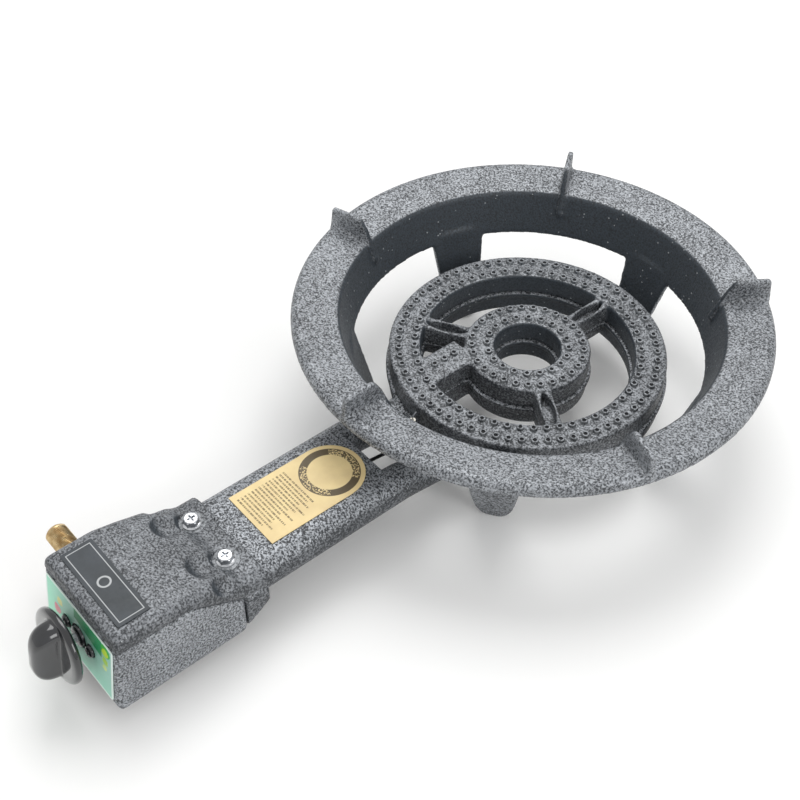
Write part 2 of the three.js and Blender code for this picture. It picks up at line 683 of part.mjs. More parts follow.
function alongMinusX(profile, sides) {
  return turned(profile, sides).rotateY(-Math.PI / 2).translate(0, INLET.y, INLET.z);
}

function inletFitting() {
  const body = alongMinusX([
    [4.4, 15.6], [7.6, 15.6], [7.6, 36], [INLET.thread, 36], [INLET.thread, -INLET.tip - 1.5],
    [INLET.thread - 1.5, -INLET.tip], [4.4, -INLET.tip],
  ], 32);
  return piece("inlet_fitting", solid(body), BRASS());
}

function inletNut(name, x0, x1) {
  const nut = solid(prismZ(hexagon(22), x0, x1)).subtract(solid(rod(INLET.thread + GAP, 0, 99)));
  const mesh = piece(name, nut, BRASS());
  mesh.rotation.y = -Math.PI / 2;
  mesh.position.set(0, INLET.y, INLET.z);
  return mesh;
}

// ---------- ignition ----------
function electrode() {
  const ceramic = turned([[0.9, 46], [3, 46], [3, 57], [2.4, 58], [2.4, 64], [0.9, 64]], 12)
    .translate(0, ELECTRODE_Y, 0);
  const path = new THREE.CurvePath();
  const stops = [[0, 44], [0, 68], [3.6, 70.4]]
    .map(([dy, z]) => new THREE.Vector3(0, ELECTRODE_Y + dy, z));
  path.add(new THREE.LineCurve3(stops[0], stops[1]));
  path.add(new THREE.LineCurve3(stops[1], stops[2]));
  const pin = new THREE.ExtrudeGeometry(closedShape(arc(0, 0, 0.6, 0, 315, 7)),
    { extrudePath: path, steps: 12, bevelEnabled: false });
  const plate = prismZ(roundedRect(-7, 7, -128 + GAP, -115.2, 2), 52, 53.2);
  const bracket = join(plate, block([-7, 7], [-128 + GAP, -126.5], [44, 53.2]));
  const cut = rod(3 + GAP, 40, 60, 12).translate(0, ELECTRODE_Y, 0);
  return [
    piece("electrode_ceramic", solid(ceramic), finish(0xe9e6dd, 0.4, 0)),
    piece("electrode_pin", solid(pin), STEEL()),
    piece("electrode_bracket", bracket.subtract(solid(cut)), STEEL()),
  ];
}

function sparkLead() {
  const points = [
    [24, -372.6, 26.8], [24, -366, 26.4], [24, -352, 29], [12, -336, 44], [0, -322, LEAD_Z],
    [0, -290, LEAD_Z], [0, -200, LEAD_Z], [0, -160, 47], [0, -136, 43.5], [0, -124, 42],
    [0, ELECTRODE_Y, 42.2], [0, ELECTRODE_Y, 43.6],
  ].map((p) => new THREE.Vector3(...p));
  const path = new THREE.CatmullRomCurve3(points, false, "centripetal");
  const lead = new THREE.ExtrudeGeometry(closedShape(arc(0, 0, LEAD_RADIUS, 0, 300, 5)),
    { extrudePath: path, steps: 44, bevelEnabled: false });
  return piece("spark_lead", solid(lead), finish(0x2a2c30, 0.6, 0));
}

function leadClip(name, y) {
  const band = prismY([
    [-7, WEB_BOTTOM - GAP], [-7, WEB_BOTTOM - 1.3], [-2.9, WEB_BOTTOM - 1.3], [-2.9, LEAD_Z - 3],
    [2.9, LEAD_Z - 3], [2.9, WEB_BOTTOM - 1.3], [7, WEB_BOTTOM - 1.3], [7, WEB_BOTTOM - GAP],
    [1.9, WEB_BOTTOM - GAP], [1.9, LEAD_Z - 2], [-1.9, LEAD_Z - 2], [-1.9, WEB_BOTTOM - GAP],
  ], y - 4, y + 4);
  return piece(name, solid(band), ZINC());
}

// ---------- labels ----------
function armLabel() {
  const half = 26.3;
  const outline = [[-half, -269.4], [half, -269.4], ...arc(0, -198.6, half, 0, 180, 16)];
  const z = WEB_TOP + GAP;
  return piece("arm_label", solid(prismZ(outline, z, z + 0.5)), finish(0xd9c48c, 0.5, 0));
}

function coverBadge() {
  const z = 88 + GAP;
  const plate = prismZ(roundedRect(-36.5, 36.5, -395, -371, 1), z, z + 0.6);
  return piece("cover_badge", solid(plate), finish(0x3c4044, 0.4, 0.1));
}

// ---------- assembly ----------
const burner = new THREE.Group();
burner.position.y = CENTRE_SHIFT_Y;
burner.add(standRing(), burnerTop(), burnerBody(), boxBase(), boxCover());
burner.add(fasteners(), valveGroup(), gasRail());
for (const [side, s] of [["left", -1], ["right", 1]]) {
  burner.add(injector(side, s), airShutter(side, s));
}
burner.add(inletFitting());
burner.add(inletNut("inlet_nut_outer", BOX_HALF + GAP, 53), inletNut("inlet_nut_inner", 37, 43.2));
burner.add(...electrode(), sparkLead());
burner.add(leadClip("lead_clip_1", -262), leadClip("lead_clip_2", -205));
burner.add(armLabel(), coverBadge());

export default burner;
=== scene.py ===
"""Cast-iron propane ring burner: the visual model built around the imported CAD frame.

Shapes are worked out in millimetres with the burner's axis at x = 0, y = 0 and the floor at
z = 0, and are moved to the frame's place, in metres, when they become a mesh.
"""

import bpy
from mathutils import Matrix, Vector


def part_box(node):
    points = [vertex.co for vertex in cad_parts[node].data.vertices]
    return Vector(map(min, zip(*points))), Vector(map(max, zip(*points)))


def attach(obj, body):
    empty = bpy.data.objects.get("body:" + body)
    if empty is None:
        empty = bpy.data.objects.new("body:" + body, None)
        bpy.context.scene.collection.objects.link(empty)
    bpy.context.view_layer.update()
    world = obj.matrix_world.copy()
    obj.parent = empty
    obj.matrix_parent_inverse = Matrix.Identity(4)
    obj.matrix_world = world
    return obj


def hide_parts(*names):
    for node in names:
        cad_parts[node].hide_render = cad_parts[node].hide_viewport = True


bl_info = {
    "name": "Propane Ring Burner",
    "version": (1, 0, 0),
    "blender": (4, 5, 0),
    "location": "View3D > Sidebar > Burner",
    "description": "Builds a cast-iron ring burner, its valve box and its studio stage",
    "category": "Add Mesh",
}

from functools import partial

import bmesh
import bpy
import numpy as np
from mathutils import Matrix, Vector

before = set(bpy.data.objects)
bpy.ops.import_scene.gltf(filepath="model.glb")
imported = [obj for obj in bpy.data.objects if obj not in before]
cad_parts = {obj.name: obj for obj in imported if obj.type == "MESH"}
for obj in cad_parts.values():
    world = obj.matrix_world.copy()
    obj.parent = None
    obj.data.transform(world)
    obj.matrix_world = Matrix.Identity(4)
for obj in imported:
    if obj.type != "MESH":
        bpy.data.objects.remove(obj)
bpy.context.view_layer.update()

MM = 0.001
TURN = 2 * np.pi


def middle(name):
    """The middle of a CAD node's box, in metres."""
    low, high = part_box(name)
    return (low + high) / 2


def srgb(code):
    """A hex string as three sRGB numbers."""
    return [int(code[i:i + 2], 16) / 255 for i in (1, 3, 5)]


AXIS_Y = middle("burner_top").y
PANEL_TILT = np.radians(8.5)
VALVE = np.array([0.0, -407.8, 51.3])

# Pot stand
WALL_BOTTOM = 71.3
WALL_BOTTOM_RADIUS = 137.4
WALL_THICK = 5.6
CONE_SLOPE = (148.3 - WALL_BOTTOM_RADIUS) / (107 - WALL_BOTTOM)
SPOKES = 5

# Burner head and body
HEAD_TOP = 68.5
HEAD_SPLIT = 50.5
GAP = 0.3
RINGS = ((84.5, 110.0), (26.0, 50.0))
BRIDGES = (90, -30, -150)
PORT_ROWS = ((102, 66), (89.5, 57), (44.3, 29), (32.2, 20))
FEED_PORTS = ((-30.5, -71), (-30.5, -61), (-30.5, -51))
FEED_SIDES = (-42.5, -15.5)
BRIDGE_REACH = (46, 88)
BRIDGE_SIDES = (-6.5, 6.5)
TRAY_FLOOR = 31.0
TRAY_LEDGE = 46.6
TRAY_LIP = 2.2
TUBE_X = 29.0
TUBE_Z = 47.0
TUBE_RADIUS = 14.0
TUBE_FLAT_HALF = 9.4
WEB_TOP = 61.3

# Valve box
BOX_WALL = 3.0
COVER_WALL = 4.0
NOSE_HOLE = 9.0
INLET_HOLE = 8.8
TUBE_HOLE = 14.5
BOX_HALF = 46.5
BOX_REAR = -306.3
BOX_CORNER = 4.5
SILL_TOP = 24.0
COVER_FRONT = -403.8
COVER_END = -287.5
COVER_SCREWS = ((-20.6, -304.0), (20.6, -304.0))
SEAT_TOP = 66.3
CROWN = ((-406, 88), (-367, 88), (-349, 84.5), (-330, 79.5), (-314, 72.5), (-306, 67.5),
         (-301, 66.3), (-280, 66.3))
SKIRT = ((-406, 76), (-349, 76), (-305, 51), (-280, 51))
KNOB_BASE = 12.5
PANEL_SCREW = 15.4
INLET_Y = -377.0
INLET_Z = 52.0

# Arm label, with the middle of its ring and the pitch of its rows
LABEL_RING = -198.6
LABEL_ROW = 3.1

# Camera: azimuth, elevation and roll in degrees, then millimetres from its aim
CAMERA_TURN = (49.4, 46.1, 0.9)
CAMERA_BACK = 1013.3
CAMERA_LEFT = 102.9
CAMERA_DOWN = 73.3
CAMERA_AIM = (0, 0, 112.0)
LENS = 59.4
LENS_SHIFT = (0.00225, 0.0005)

# Soft boxes: name, place and width in metres, power in watts
SOFT_BOXES = (("key", (-0.7, 0.7, 2.0), 1.4, 21), ("side", (2.0, 0.1, 1.2), 1.0, 12))
SKY_STRENGTH = 0.78


# ---------------------------------------------------------------- properties


class BurnerPaint(bpy.types.PropertyGroup):
    """Colours and grain of the paint on the castings."""

    silver: bpy.props.FloatVectorProperty(
        name="Silver", description="Aluminium flake in the hammertone paint",
        subtype="COLOR_GAMMA", size=3, min=0, max=1, default=srgb("#abafb4"))
    vein: bpy.props.FloatVectorProperty(
        name="Vein", description="Dark lacquer between the flakes",
        subtype="COLOR_GAMMA", size=3, min=0, max=1, default=srgb("#2b2e32"))
    # Hollow: painted shade, the near-black colour given to faces turned in to the ring's middle
    hollow: bpy.props.FloatVectorProperty(
        name="Hollow", description="Lacquer on faces the spray gun reached least",
        subtype="COLOR_GAMMA", size=3, min=0, max=1, default=srgb("#22262a"))
    # Real flake islands are up to a millimetre wide, and are drawn wider so that they show
    flake: bpy.props.FloatProperty(
        name="Flake size", description="Width of one silver speck in millimetres",
        default=1.5, min=0.5, max=6)
    knob: bpy.props.FloatVectorProperty(
        name="Knob", description="Colour of the moulded knob",
        subtype="COLOR_GAMMA", size=3, min=0, max=1, default=srgb("#0b0d11"))
    panel: bpy.props.FloatVectorProperty(
        name="Panel film", description="Ground colour of the front panel's film",
        subtype="COLOR_GAMMA", size=3, min=0, max=1, default=srgb("#a3ebcc"))
    label: bpy.props.FloatVectorProperty(
        name="Arm label", description="Ground colour of the label on the arm",
        subtype="COLOR_GAMMA", size=3, min=0, max=1, default=srgb("#edd69e"))


class BurnerSizes(bpy.types.PropertyGroup):
    """Sizes of the castings' surface that a user may change."""

    stand_grain: bpy.props.FloatProperty(
        name="Stand mesh", description="Mesh size on the pot stand", subtype="DISTANCE",
        unit="LENGTH", default=0.0016, min=0.0012, max=0.004)
    part_grain: bpy.props.FloatProperty(
        name="Part mesh", description="Mesh size on the head, box and cover",
        subtype="DISTANCE", unit="LENGTH", default=0.0012, min=0.0009, max=0.004)
    arm_grain: bpy.props.FloatProperty(
        name="Arm mesh", description="Mesh size on the arm and trays", subtype="DISTANCE",
        unit="LENGTH", default=0.0013, min=0.0012, max=0.004)
    knob_grain: bpy.props.FloatProperty(
        name="Knob mesh", description="Mesh size on the knob", subtype="DISTANCE",
        unit="LENGTH", default=0.0006, min=0.0004, max=0.002)
    port_radius: bpy.props.FloatProperty(
        name="Port radius", description="Radius of one gas port", subtype="DISTANCE",
        unit="LENGTH", default=0.0015, min=0.0006, max=0.0019)


# ---------------------------------------------------------------- surfaces


def skin(grid, wrap_u=False, wrap_v=False):
    """A grid of points as a surface: each cell joins four neighbours, and a wrapped side joins
    the last row to the first."""
    rows, columns = grid.shape[:2]
    index = np.arange(rows * columns).reshape(rows, columns)
    if wrap_u:
        index = np.vstack([index, index[:1]])
    if wrap_v:
        index = np.hstack([index, index[:, :1]])
    quads = np.stack([index[:-1, :-1], index[1:, :-1], index[1:, 1:], index[:-1, 1:]], -1)
    return grid.reshape(-1, 3), quads.reshape(-1, 4)


def softened(corners, radius, steps=5):
    """A closed outline whose corners are replaced by parabolas that start and end a radius away
    from the corner, or at most 45 % along each side."""
    corner = np.asarray(corners, float)
    before = np.roll(corner, 1, 0) - corner
    after = np.roll(corner, -1, 0) - corner
    length_before = np.linalg.norm(before, axis=1, keepdims=True)
    length_after = np.linalg.norm(after, axis=1, keepdims=True)
    start = corner + before * np.minimum(radius / length_before, 0.45)
    end = corner + after * np.minimum(radius / length_after, 0.45)
    t = np.linspace(0, 1, steps)[None, :, None]
    curve = ((1 - t) ** 2 * start[:, None] + 2 * t * (1 - t) * corner[:, None]
             + t ** 2 * end[:, None])
    return curve.reshape(-1, 2)


def rounded_rect(x0, x1, y0, y1, radius, steps=8):
    """A rectangle with quarter circles at its corners, counter-clockwise."""
    quarter = np.linspace(0, np.pi / 2, steps)
    angle = (quarter[None, :] + np.array([-1, 0, 1, 2])[:, None] * np.pi / 2).ravel()
    centre_x = np.repeat([x1 - radius, x1 - radius, x0 + radius, x0 + radius], steps)
    centre_y = np.repeat([y0 + radius, y1 - radius, y1 - radius, y0 + radius], steps)
    return np.stack([centre_x + radius * np.cos(angle), centre_y + radius * np.sin(angle)], -1)


def spun(profile, count=200):
    """A closed (radius, height) profile carried round the Z axis."""
    angle = np.linspace(0, TURN, count, endpoint=False)[None, :]
    radius, height = np.asarray(profile, float).T[:, :, None]
    grid = np.stack([radius * np.cos(angle), radius * np.sin(angle),
                     height + 0 * angle], -1)
    return skin(grid, True, True)


def stacked(loops):
    """Closed loops of equal length skinned in order, the first and last drawn in to their
    middles through three smaller copies, so that the solid is closed."""
    loops = [np.asarray(loop, float) for loop in loops]
    first, last = loops[0], loops[-1]
    shrink = (0.0, 0.25, 0.5, 0.75)
    start = [first.mean(0) + (first - first.mean(0)) * s for s in shrink]
    finish = [last.mean(0) + (last - last.mean(0)) * s for s in shrink[::-1]]
    return skin(np.array(start + loops + finish), False, True)


def plate(outline, low, high, edge, layout):
    """An outline given a thickness, with its rims turned in by the edge radius. The layout maps
    (first, second, height) columns to x, y, z, and may bend the plate."""
    flat = np.asarray(outline, float)
    along = np.roll(flat, -1, 0) - np.roll(flat, 1, 0)
    outward = np.stack([along[:, 1], -along[:, 0]], -1)
    outward /= np.maximum(np.linalg.norm(outward, axis=1, keepdims=True), 1e-9)
    x, y = flat.T
    spin = np.sign(np.sum(x * np.roll(y, -1) - np.roll(x, -1) * y))
    turn_in = np.array([1, 0.3, 0, 0, 0.3, 1]) * edge * spin
    height = np.array([low, low + 0.3 * edge, low + edge, high - edge, high - 0.3 * edge, high])
    rims = [np.column_stack([flat - outward * inset, np.full(len(flat), z)])
            for inset, z in zip(turn_in, height)]
    points, quads = stacked(rims)
    return layout(points), quads


def upright(points):
    """Outline in x and y, thickness up Z."""
    return points


def across(points):
    """Outline in y and z, thickness along X."""
    return points[:, [2, 0, 1]]


def block(x, y, z, edge=0.8):
    """A box with softened edges between (low, high) pairs."""
    return plate(rounded_rect(*x, *y, 1.5 * edge), *z, edge, upright)


def turned_about_z(surface, degrees):
    """The surface turned about the burner's axis."""
    angle = np.radians(degrees)
    turn = np.array([[np.cos(angle), -np.sin(angle), 0], [np.sin(angle), np.cos(angle), 0],
                     [0, 0, 1]])
    return surface[0] @ turn.T, surface[1]


def moved(surface, x=0.0, y=0.0, z=0.0):
    """The surface shifted."""
    return surface[0] + np.array([x, y, z]), surface[1]


def on_panel(surface):
    """The surface drawn with z out of the front panel, put in the panel's place: turned about X
    by a right angle less the panel's tilt, then moved to the valve."""
    x, y, z = surface[0].T
    cosine, sine = np.sin(PANEL_TILT), np.cos(PANEL_TILT)
    return np.stack([x, y * cosine - z * sine, y * sine + z * cosine], -1) + VALVE, surface[1]


def on_inlet(surface):
    """The surface drawn about Z, laid along -X at the inlet's height."""
    x, y, z = surface[0].T
    return np.stack([-z, y + INLET_Y, x + INLET_Z], -1), surface[1]


def polar(levels, count=96):
    """A stack of loops about Z: each level is a height and a radius for every angle, so a hexagon,
    a circle or a cross can follow each other up the stack."""
    angle = np.linspace(0, TURN, count, endpoint=False)
    loops = [np.stack([radius * np.cos(angle), radius * np.sin(angle),
                       np.full(count, float(z))], -1) for z, radius in levels]
    return skin(np.array(loops), False, True)


def ball(radius):
    """A sphere about the origin."""
    tilt = np.linspace(0, np.pi, 18)
    return polar([(-radius * np.cos(a), radius * np.sin(a)) for a in tilt], 48)


def hexagon(across_flats, count=96):
    """The radius of a hexagon with blunted corners at each angle: half the width across flats
    over the cosine of the angle from the nearest flat."""
    angle = np.linspace(0, TURN, count, endpoint=False)
    from_flat = (angle % (np.pi / 3)) - np.pi / 6
    return np.minimum(across_flats / 2 / np.cos(from_flat), across_flats * 0.565)


def cross(reach, half_width, count=96):
    """The radius of a plus-shaped recess at each angle: the arm's end, or its side, whichever
    the ray meets first."""
    angle = np.linspace(0, TURN, count, endpoint=False) + 1e-4
    from_arm = (angle + np.pi / 4) % (np.pi / 2) - np.pi / 4
    return np.minimum(reach / np.cos(from_arm), half_width / np.abs(np.sin(from_arm)))


# ---------------------------------------------------------------- meshes


def made(name, surfaces, sharp=40.0):
    """One object from surfaces in millimetres: coincident points merged, faces turned outward,
    edges over the sharp angle left crisp."""
    offsets = np.cumsum([0] + [len(points) for points, _ in surfaces[:-1]])
    points = np.concatenate([points for points, _ in surfaces]) * MM
    points[:, 1] += AXIS_Y
    quads = np.concatenate([quads + shift for (_, quads), shift in zip(surfaces, offsets)])
    mesh = bpy.data.meshes.new(name)
    mesh.from_pydata(points.tolist(), [], quads.tolist())
    shell = bmesh.new()
    shell.from_mesh(mesh)
    bmesh.ops.remove_doubles(shell, verts=shell.verts, dist=2e-6)
    bmesh.ops.dissolve_degenerate(shell, edges=shell.edges, dist=1e-7)
    bmesh.ops.recalc_face_normals(shell, faces=shell.faces)
    shell.to_mesh(mesh)
    shell.free()
    mesh.polygons.foreach_set("use_smooth", np.ones(len(mesh.polygons), bool))
    mesh.set_sharp_from_angle(angle=np.radians(sharp))
    piece = bpy.data.objects.new(name, mesh)
    bpy.context.scene.collection.objects.link(piece)
    return piece


def cast(name, adds, cuts, grain, relax):
    """One casting: the added surfaces are fused by a voxel skin, the cut ones are taken away, and
    a second skin and a few rounds of smoothing leave the soft edges of a sand casting."""
    piece = made(name, adds)
    cutters = [made(f"{name}_cut", [cut]) for cut in cuts]
    fuse = piece.modifiers.new("fuse", "REMESH")
    fuse.mode = "VOXEL"
    fuse.voxel_size = grain
    for cutter in cutters:
        cut = piece.modifiers.new("cut", "BOOLEAN")
        cut.operation = "DIFFERENCE"
        cut.solver = "MANIFOLD"
        cut.object = cutter
    if cutters:
        again = piece.modifiers.new("again", "REMESH")
        again.mode = "VOXEL"
        again.voxel_size = grain
    ease = piece.modifiers.new("ease", "SMOOTH")
    ease.factor = 0.5
    ease.iterations = relax
    graph = bpy.context.evaluated_depsgraph_get()
    finished = bpy.data.meshes.new_from_object(piece.evaluated_get(graph))
    rough = piece.data
    piece.modifiers.clear()
    piece.data = finished
    bpy.data.meshes.remove(rough)
    for cutter in cutters:
        bpy.data.objects.remove(cutter)
    if len(finished.polygons) < 100:
        raise RuntimeError(f"{name} came out empty")
    finished.polygons.foreach_set("use_smooth", np.ones(len(finished.polygons), bool))
    return piece


def settle(piece, body, slot, finish, *nodes):
    """Gives a piece its material, its body and the CAD nodes it stands for."""
    piece.data.materials.clear()
    piece.data.materials.append(finish)
    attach(piece, body)
    if nodes:
        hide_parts(*nodes)


def dress(name, finish):
    """A CAD node's plain finish replaced by a material."""
    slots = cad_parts[name].material_slots
    for slot in slots:
        slot.material = finish
    if not slots:
        raise RuntimeError(f"{name} has no material slot")


# ---------------------------------------------------------------- materials


def linear(colour):
    """A hex string, or three sRGB numbers, as a linear colour."""
    channel = np.asarray(srgb(colour) if isinstance(colour, str) else colour, float)
    low = channel / 12.92
    high = ((channel + 0.055) / 1.055) ** 2.4
    return (*np.where(channel <= 0.04045, low, high).tolist(), 1.0)


def cells(size):
    """The texture scale whose features are this many millimetres wide."""
    return 1 / (size * MM)


def node(tree, kind, inputs=(), out=0, **settings):
    """Adds one shader node, sets its properties, fills or links its inputs, which come as a row
    or by key, and returns the output asked for."""
    added = tree.nodes.new("ShaderNode" + kind)
    for key, value in settings.items():
        setattr(added, key, value)
    for key, value in inputs.items() if isinstance(inputs, dict) else enumerate(inputs):
        if isinstance(value, bpy.types.NodeSocket):
            tree.links.new(value, added.inputs[key])
        else:
            added.inputs[key].default_value = value
    return added.outputs[out] if added.outputs else None


def material(name):
    """An empty material: returns it, the call that adds a node to it, and the surface's place
    in metres."""
    fresh = bpy.data.materials.new(name)
    fresh.use_nodes = True
    fresh.node_tree.nodes.clear()
    add = partial(node, fresh.node_tree)
    return fresh, add, add("TexCoord", out="Object")


def close(add, inputs):
    """Ends a material in one Principled shader with these inputs."""
    add("OutputMaterial", {"Surface": add("BsdfPrincipled", inputs)})


def hammertone(name, silver, vein, hollow, flake, light, dark):
    """Hammertone lacquer sprayed on sand-cast iron: aluminium flake floats into small islands
    between dark veins. Walls are painted darker than upward faces as painted shade, and faces
    turned in to the middle of the ring are painted near-black as painted shade, with a few white
    specks. Light and dark say how far the tops and the walls keep towards silver and towards vein."""
    finish, add, place = material(name)

    # Flake: soft clouds broken up by small cells of one random shade each
    chance = add("TexVoronoi", {"Vector": place, "Scale": cells(0.8 * flake)}, "Color")
    chance = add("SeparateColor", (chance,))
    cloud = add("TexNoise", {"Vector": place, "Scale": cells(flake), "Detail": 3.0,
                             "Roughness": 0.62})
    cloud = add("MapRange", (cloud, 0.36, 0.62), interpolation_type="SMOOTHSTEP")
    cloud = add("Math", (cloud, 0.68), operation="MULTIPLY")
    shine = add("Math", (chance, 0.32, cloud), operation="MULTIPLY_ADD")

    # Painted light and shade: upward faces lightest, walls darker, faces turned to the ring's
    # middle near-black
    normal = add("NewGeometry", out="Normal")
    upward = add("SeparateXYZ", (normal,), "Z")
    tops = add("MapRange", (upward, 0.35, 0.85), interpolation_type="SMOOTHSTEP")
    outward = add("VectorMath", (place, (0, AXIS_Y, 0)), operation="SUBTRACT")
    outward = add("VectorMath", (outward, (1, 1, 0)), operation="MULTIPLY")
    outward = add("VectorMath", (outward,), operation="NORMALIZE")
    inward = add("VectorMath", (normal, outward), "Value", operation="DOT_PRODUCT")
    inward = add("MapRange", (inward, -0.35, -0.75), interpolation_type="SMOOTHSTEP")
    # Walls sit in a darker range than upward faces: painted shade on the walls, painted light on
    # the tops
    low = add("MapRange", (tops, 0, 1, dark[0], light[0]))
    high = add("MapRange", (tops, 0, 1, dark[1], light[1]))
    span = add("Math", (high, low), operation="SUBTRACT")
    share = add("Math", (shine, span, low), operation="MULTIPLY_ADD")
    patch = add("TexNoise", {"Vector": place, "Scale": cells(30), "Detail": 3.0})
    patch = add("MapRange", (patch, 0.3, 0.7, -0.1, 0.1))
    share = add("Math", (share, patch), operation="ADD")
    tone = add("Mix", {0: share, 6: linear(vein), 7: linear(silver)}, 2, data_type="RGBA")
    # Faces turned in to the ring's middle take the hollow colour as painted shade, lifted where
    # flake lies
    bare = linear([1.9 * part for part in hollow])
    bare = add("Mix", {0: shine, 6: linear(hollow), 7: bare}, 2, data_type="RGBA")
    tone = add("Mix", {0: inward, 6: tone, 7: bare}, 2, data_type="RGBA")

    # A white speck in one cell of ten
    specks = {"Vector": place, "Scale": cells(3.2)}
    rare = add("SeparateColor", (add("TexVoronoi", specks, "Color"),))
    rare = add("MapRange", (rare, 0.90, 0.93))
    near = add("MapRange", (add("TexVoronoi", specks, "Distance"), 0.16, 0.24, 1.0, 0.0))
    speck = add("Math", (rare, near), operation="MULTIPLY")
    speck = add("Math", (speck, 0.55), operation="MULTIPLY")
    tone = add("Mix", {0: speck, 6: tone, 7: linear("#c9cdd0")}, 2, data_type="RGBA")

    # Edges lightened in places, part rubbed wear and part painted highlight
    edge = add("NewGeometry", out="Pointiness")
    worn = add("TexNoise", {"Vector": place, "Scale": cells(3.5), "Detail": 3.0})
    worn = add("MapRange", (worn, 0.38, 0.6))
    rubbed = add("MapRange", (edge, 0.535, 0.62, 0.0, 0.6), interpolation_type="SMOOTHSTEP")
    rubbed = add("Math", (rubbed, worn), operation="MULTIPLY")
    tone = add("Mix", {0: rubbed, 6: tone, 7: linear("#b4b8bb")}, 2, data_type="RGBA")
    # Painted shade: creases and hollow corners darkened towards near-black
    pooled = add("MapRange", (edge, 0.485, 0.43, 0.0, 0.85), interpolation_type="SMOOTHSTEP")
    tone = add("Mix", {0: pooled, 6: tone, 7: linear("#17191c")}, 2, data_type="RGBA")

    close(add, {
        "Base Color": tone, "Metallic": add("MapRange", (share, 0, 1, 0.0, 0.35)),
        "Roughness": add("MapRange", (shine, 0, 1, 0.56, 0.4)),
        "Normal": add("Bump", {"Strength": 0.5, "Distance": 0.2 * MM, "Height": shine})})
    return finish


def plated_steel(name, tint, low, high):
    """Zinc-plated or turned steel: bright, with a faint grain and dull patches in the plate."""
    finish, add, place = material(name)
    cloud = add("TexNoise", {"Vector": place, "Scale": cells(6), "Detail": 3.0})
    grain = add("TexNoise", {"Vector": place, "Scale": cells(0.6), "Detail": 2.0})
    dull = add("MapRange", (cloud, 0.35, 0.7))
    tone = add("Mix", {0: dull, 6: linear(tint), 7: linear("#a6a9ad")}, 2, data_type="RGBA")
    close(add, {
        "Base Color": tone, "Metallic": 1.0,
        "Roughness": add("MapRange", (cloud, 0.3, 0.7, low, high)),
        "Normal": add("Bump", {"Strength": 0.12, "Distance": 0.05 * MM, "Height": grain})})
    return finish


def turned_brass(name):
    """Free-cutting brass turned on a lathe: yellow and bright where cut, brown where it has
    begun to tarnish, with fine tool rings half a millimetre apart across the stub."""
    finish, add, place = material(name)
    tarnish = add("TexNoise", {"Vector": place, "Scale": cells(5), "Detail": 4.0,
                               "Roughness": 0.6})
    along = add("SeparateXYZ", (place,), "X")
    rings = add("Math", (along, TURN / (0.5 * MM)), operation="MULTIPLY")
    rings = add("Math", (rings,), operation="SINE")
    brown = add("MapRange", (tarnish, 0.35, 0.7))
    tone = add("Mix", {0: brown, 6: linear("#e4cda0"), 7: linear("#ab8a5c")}, 2,
               data_type="RGBA")
    close(add, {
        "Base Color": tone, "Metallic": 1.0,
        "Roughness": add("MapRange", (tarnish, 0.3, 0.7, 0.24, 0.42)),
        "Normal": add("Bump", {"Strength": 0.15, "Distance": 0.04 * MM, "Height": rings})})
    return finish


def moulded(name, colour, rough, waviness, coat=0.0):
    """A moulded plastic or rubber, or a smooth black skin on metal: one colour with slight flow
    marks, as glossy as its mould."""
    finish, add, place = material(name)
    flow = add("TexNoise", {"Vector": place, "Scale": cells(9), "Detail": 3.0})
    fine = add("TexNoise", {"Vector": place, "Scale": cells(0.7), "Detail": 2.0})
    pale = add("MapRange", (flow, 0.3, 0.7, 0.0, 0.35))
    tone = add("Mix", {0: pale, 6: linear(colour), 7: linear("#2c3036")}, 2, data_type="RGBA")
    close(add, {
        "Base Color": tone, "Roughness": add("MapRange", (flow, 0.3, 0.7, *rough)),
        "Coat Weight": coat, "Coat Roughness": 0.06,
        "Normal": add("Bump", {"Strength": waviness, "Distance": 0.06 * MM, "Height": fine})})
    return finish


def glazed_ceramic(name):
    """Glazed alumina: warm white, glossy, with a slight grey mottle."""
    finish, add, place = material(name)
    mottle = add("TexNoise", {"Vector": place, "Scale": cells(2), "Detail": 3.0})
    mottle = add("MapRange", (mottle, 0.4, 0.7))
    tone = add("Mix", {0: mottle, 6: linear("#e9e5da"), 7: linear("#c9c2b2")}, 2,
               data_type="RGBA")
    close(add, {"Base Color": tone, "Roughness": 0.22})
    return finish


def printed_film(add, place, tone, grain, low, high):
    """Ends a printed film: a satin surface whose gloss drifts over a grain in millimetres."""
    drift = add("TexNoise", {"Vector": place, "Scale": cells(grain)})
    close(add, {"Base Color": tone, "Roughness": add("MapRange", (drift, 0.3, 0.7, low, high))})


def printed_badge(name):
    """Screen-printed charcoal film: a plain ground with a thin light frame and a small ring."""
    finish, add, place = material(name)
    centre = middle("cover_badge") / MM
    spot = add("Mapping", {"Vector": place, "Scale": (1000, 1000, 0),
                           "Location": (-centre.x, -centre.y, 0)})
    beyond = []
    for axis, half in (("X", 33.6), ("Y", 9.1)):
        far = add("Math", (add("SeparateXYZ", (spot,), axis),), operation="ABSOLUTE")
        beyond.append(add("Math", (far, half), operation="SUBTRACT"))
    inset = add("Math", beyond, operation="MAXIMUM")
    inset = add("Math", (inset,), operation="ABSOLUTE")
    line = add("MapRange", (inset, 0.25, 0.4, 1.0, 0.0))
    radius = add("VectorMath", (spot,), "Value", operation="LENGTH")
    radius = add("Math", (radius, 4.2), operation="SUBTRACT")
    radius = add("Math", (radius,), operation="ABSOLUTE")
    ring = add("MapRange", (radius, 0.55, 0.8, 1.0, 0.0))
    ink = add("Math", (line, ring), operation="MAXIMUM")
    ink = add("Math", (ink, 0.75), operation="MULTIPLY")
    cloud = add("TexNoise", {"Vector": place, "Scale": cells(12), "Detail": 3.0})
    cloud = add("MapRange", (cloud, 0.3, 0.7))
    ground = add("Mix", {0: cloud, 6: linear("#2f3539"), 7: linear("#3a4046")}, 2,
                 data_type="RGBA")
    tone = add("Mix", {0: ink, 6: ground, 7: linear("#c9cccd")}, 2, data_type="RGBA")
    printed_film(add, place, tone, 2, 0.36, 0.5)
    return finish


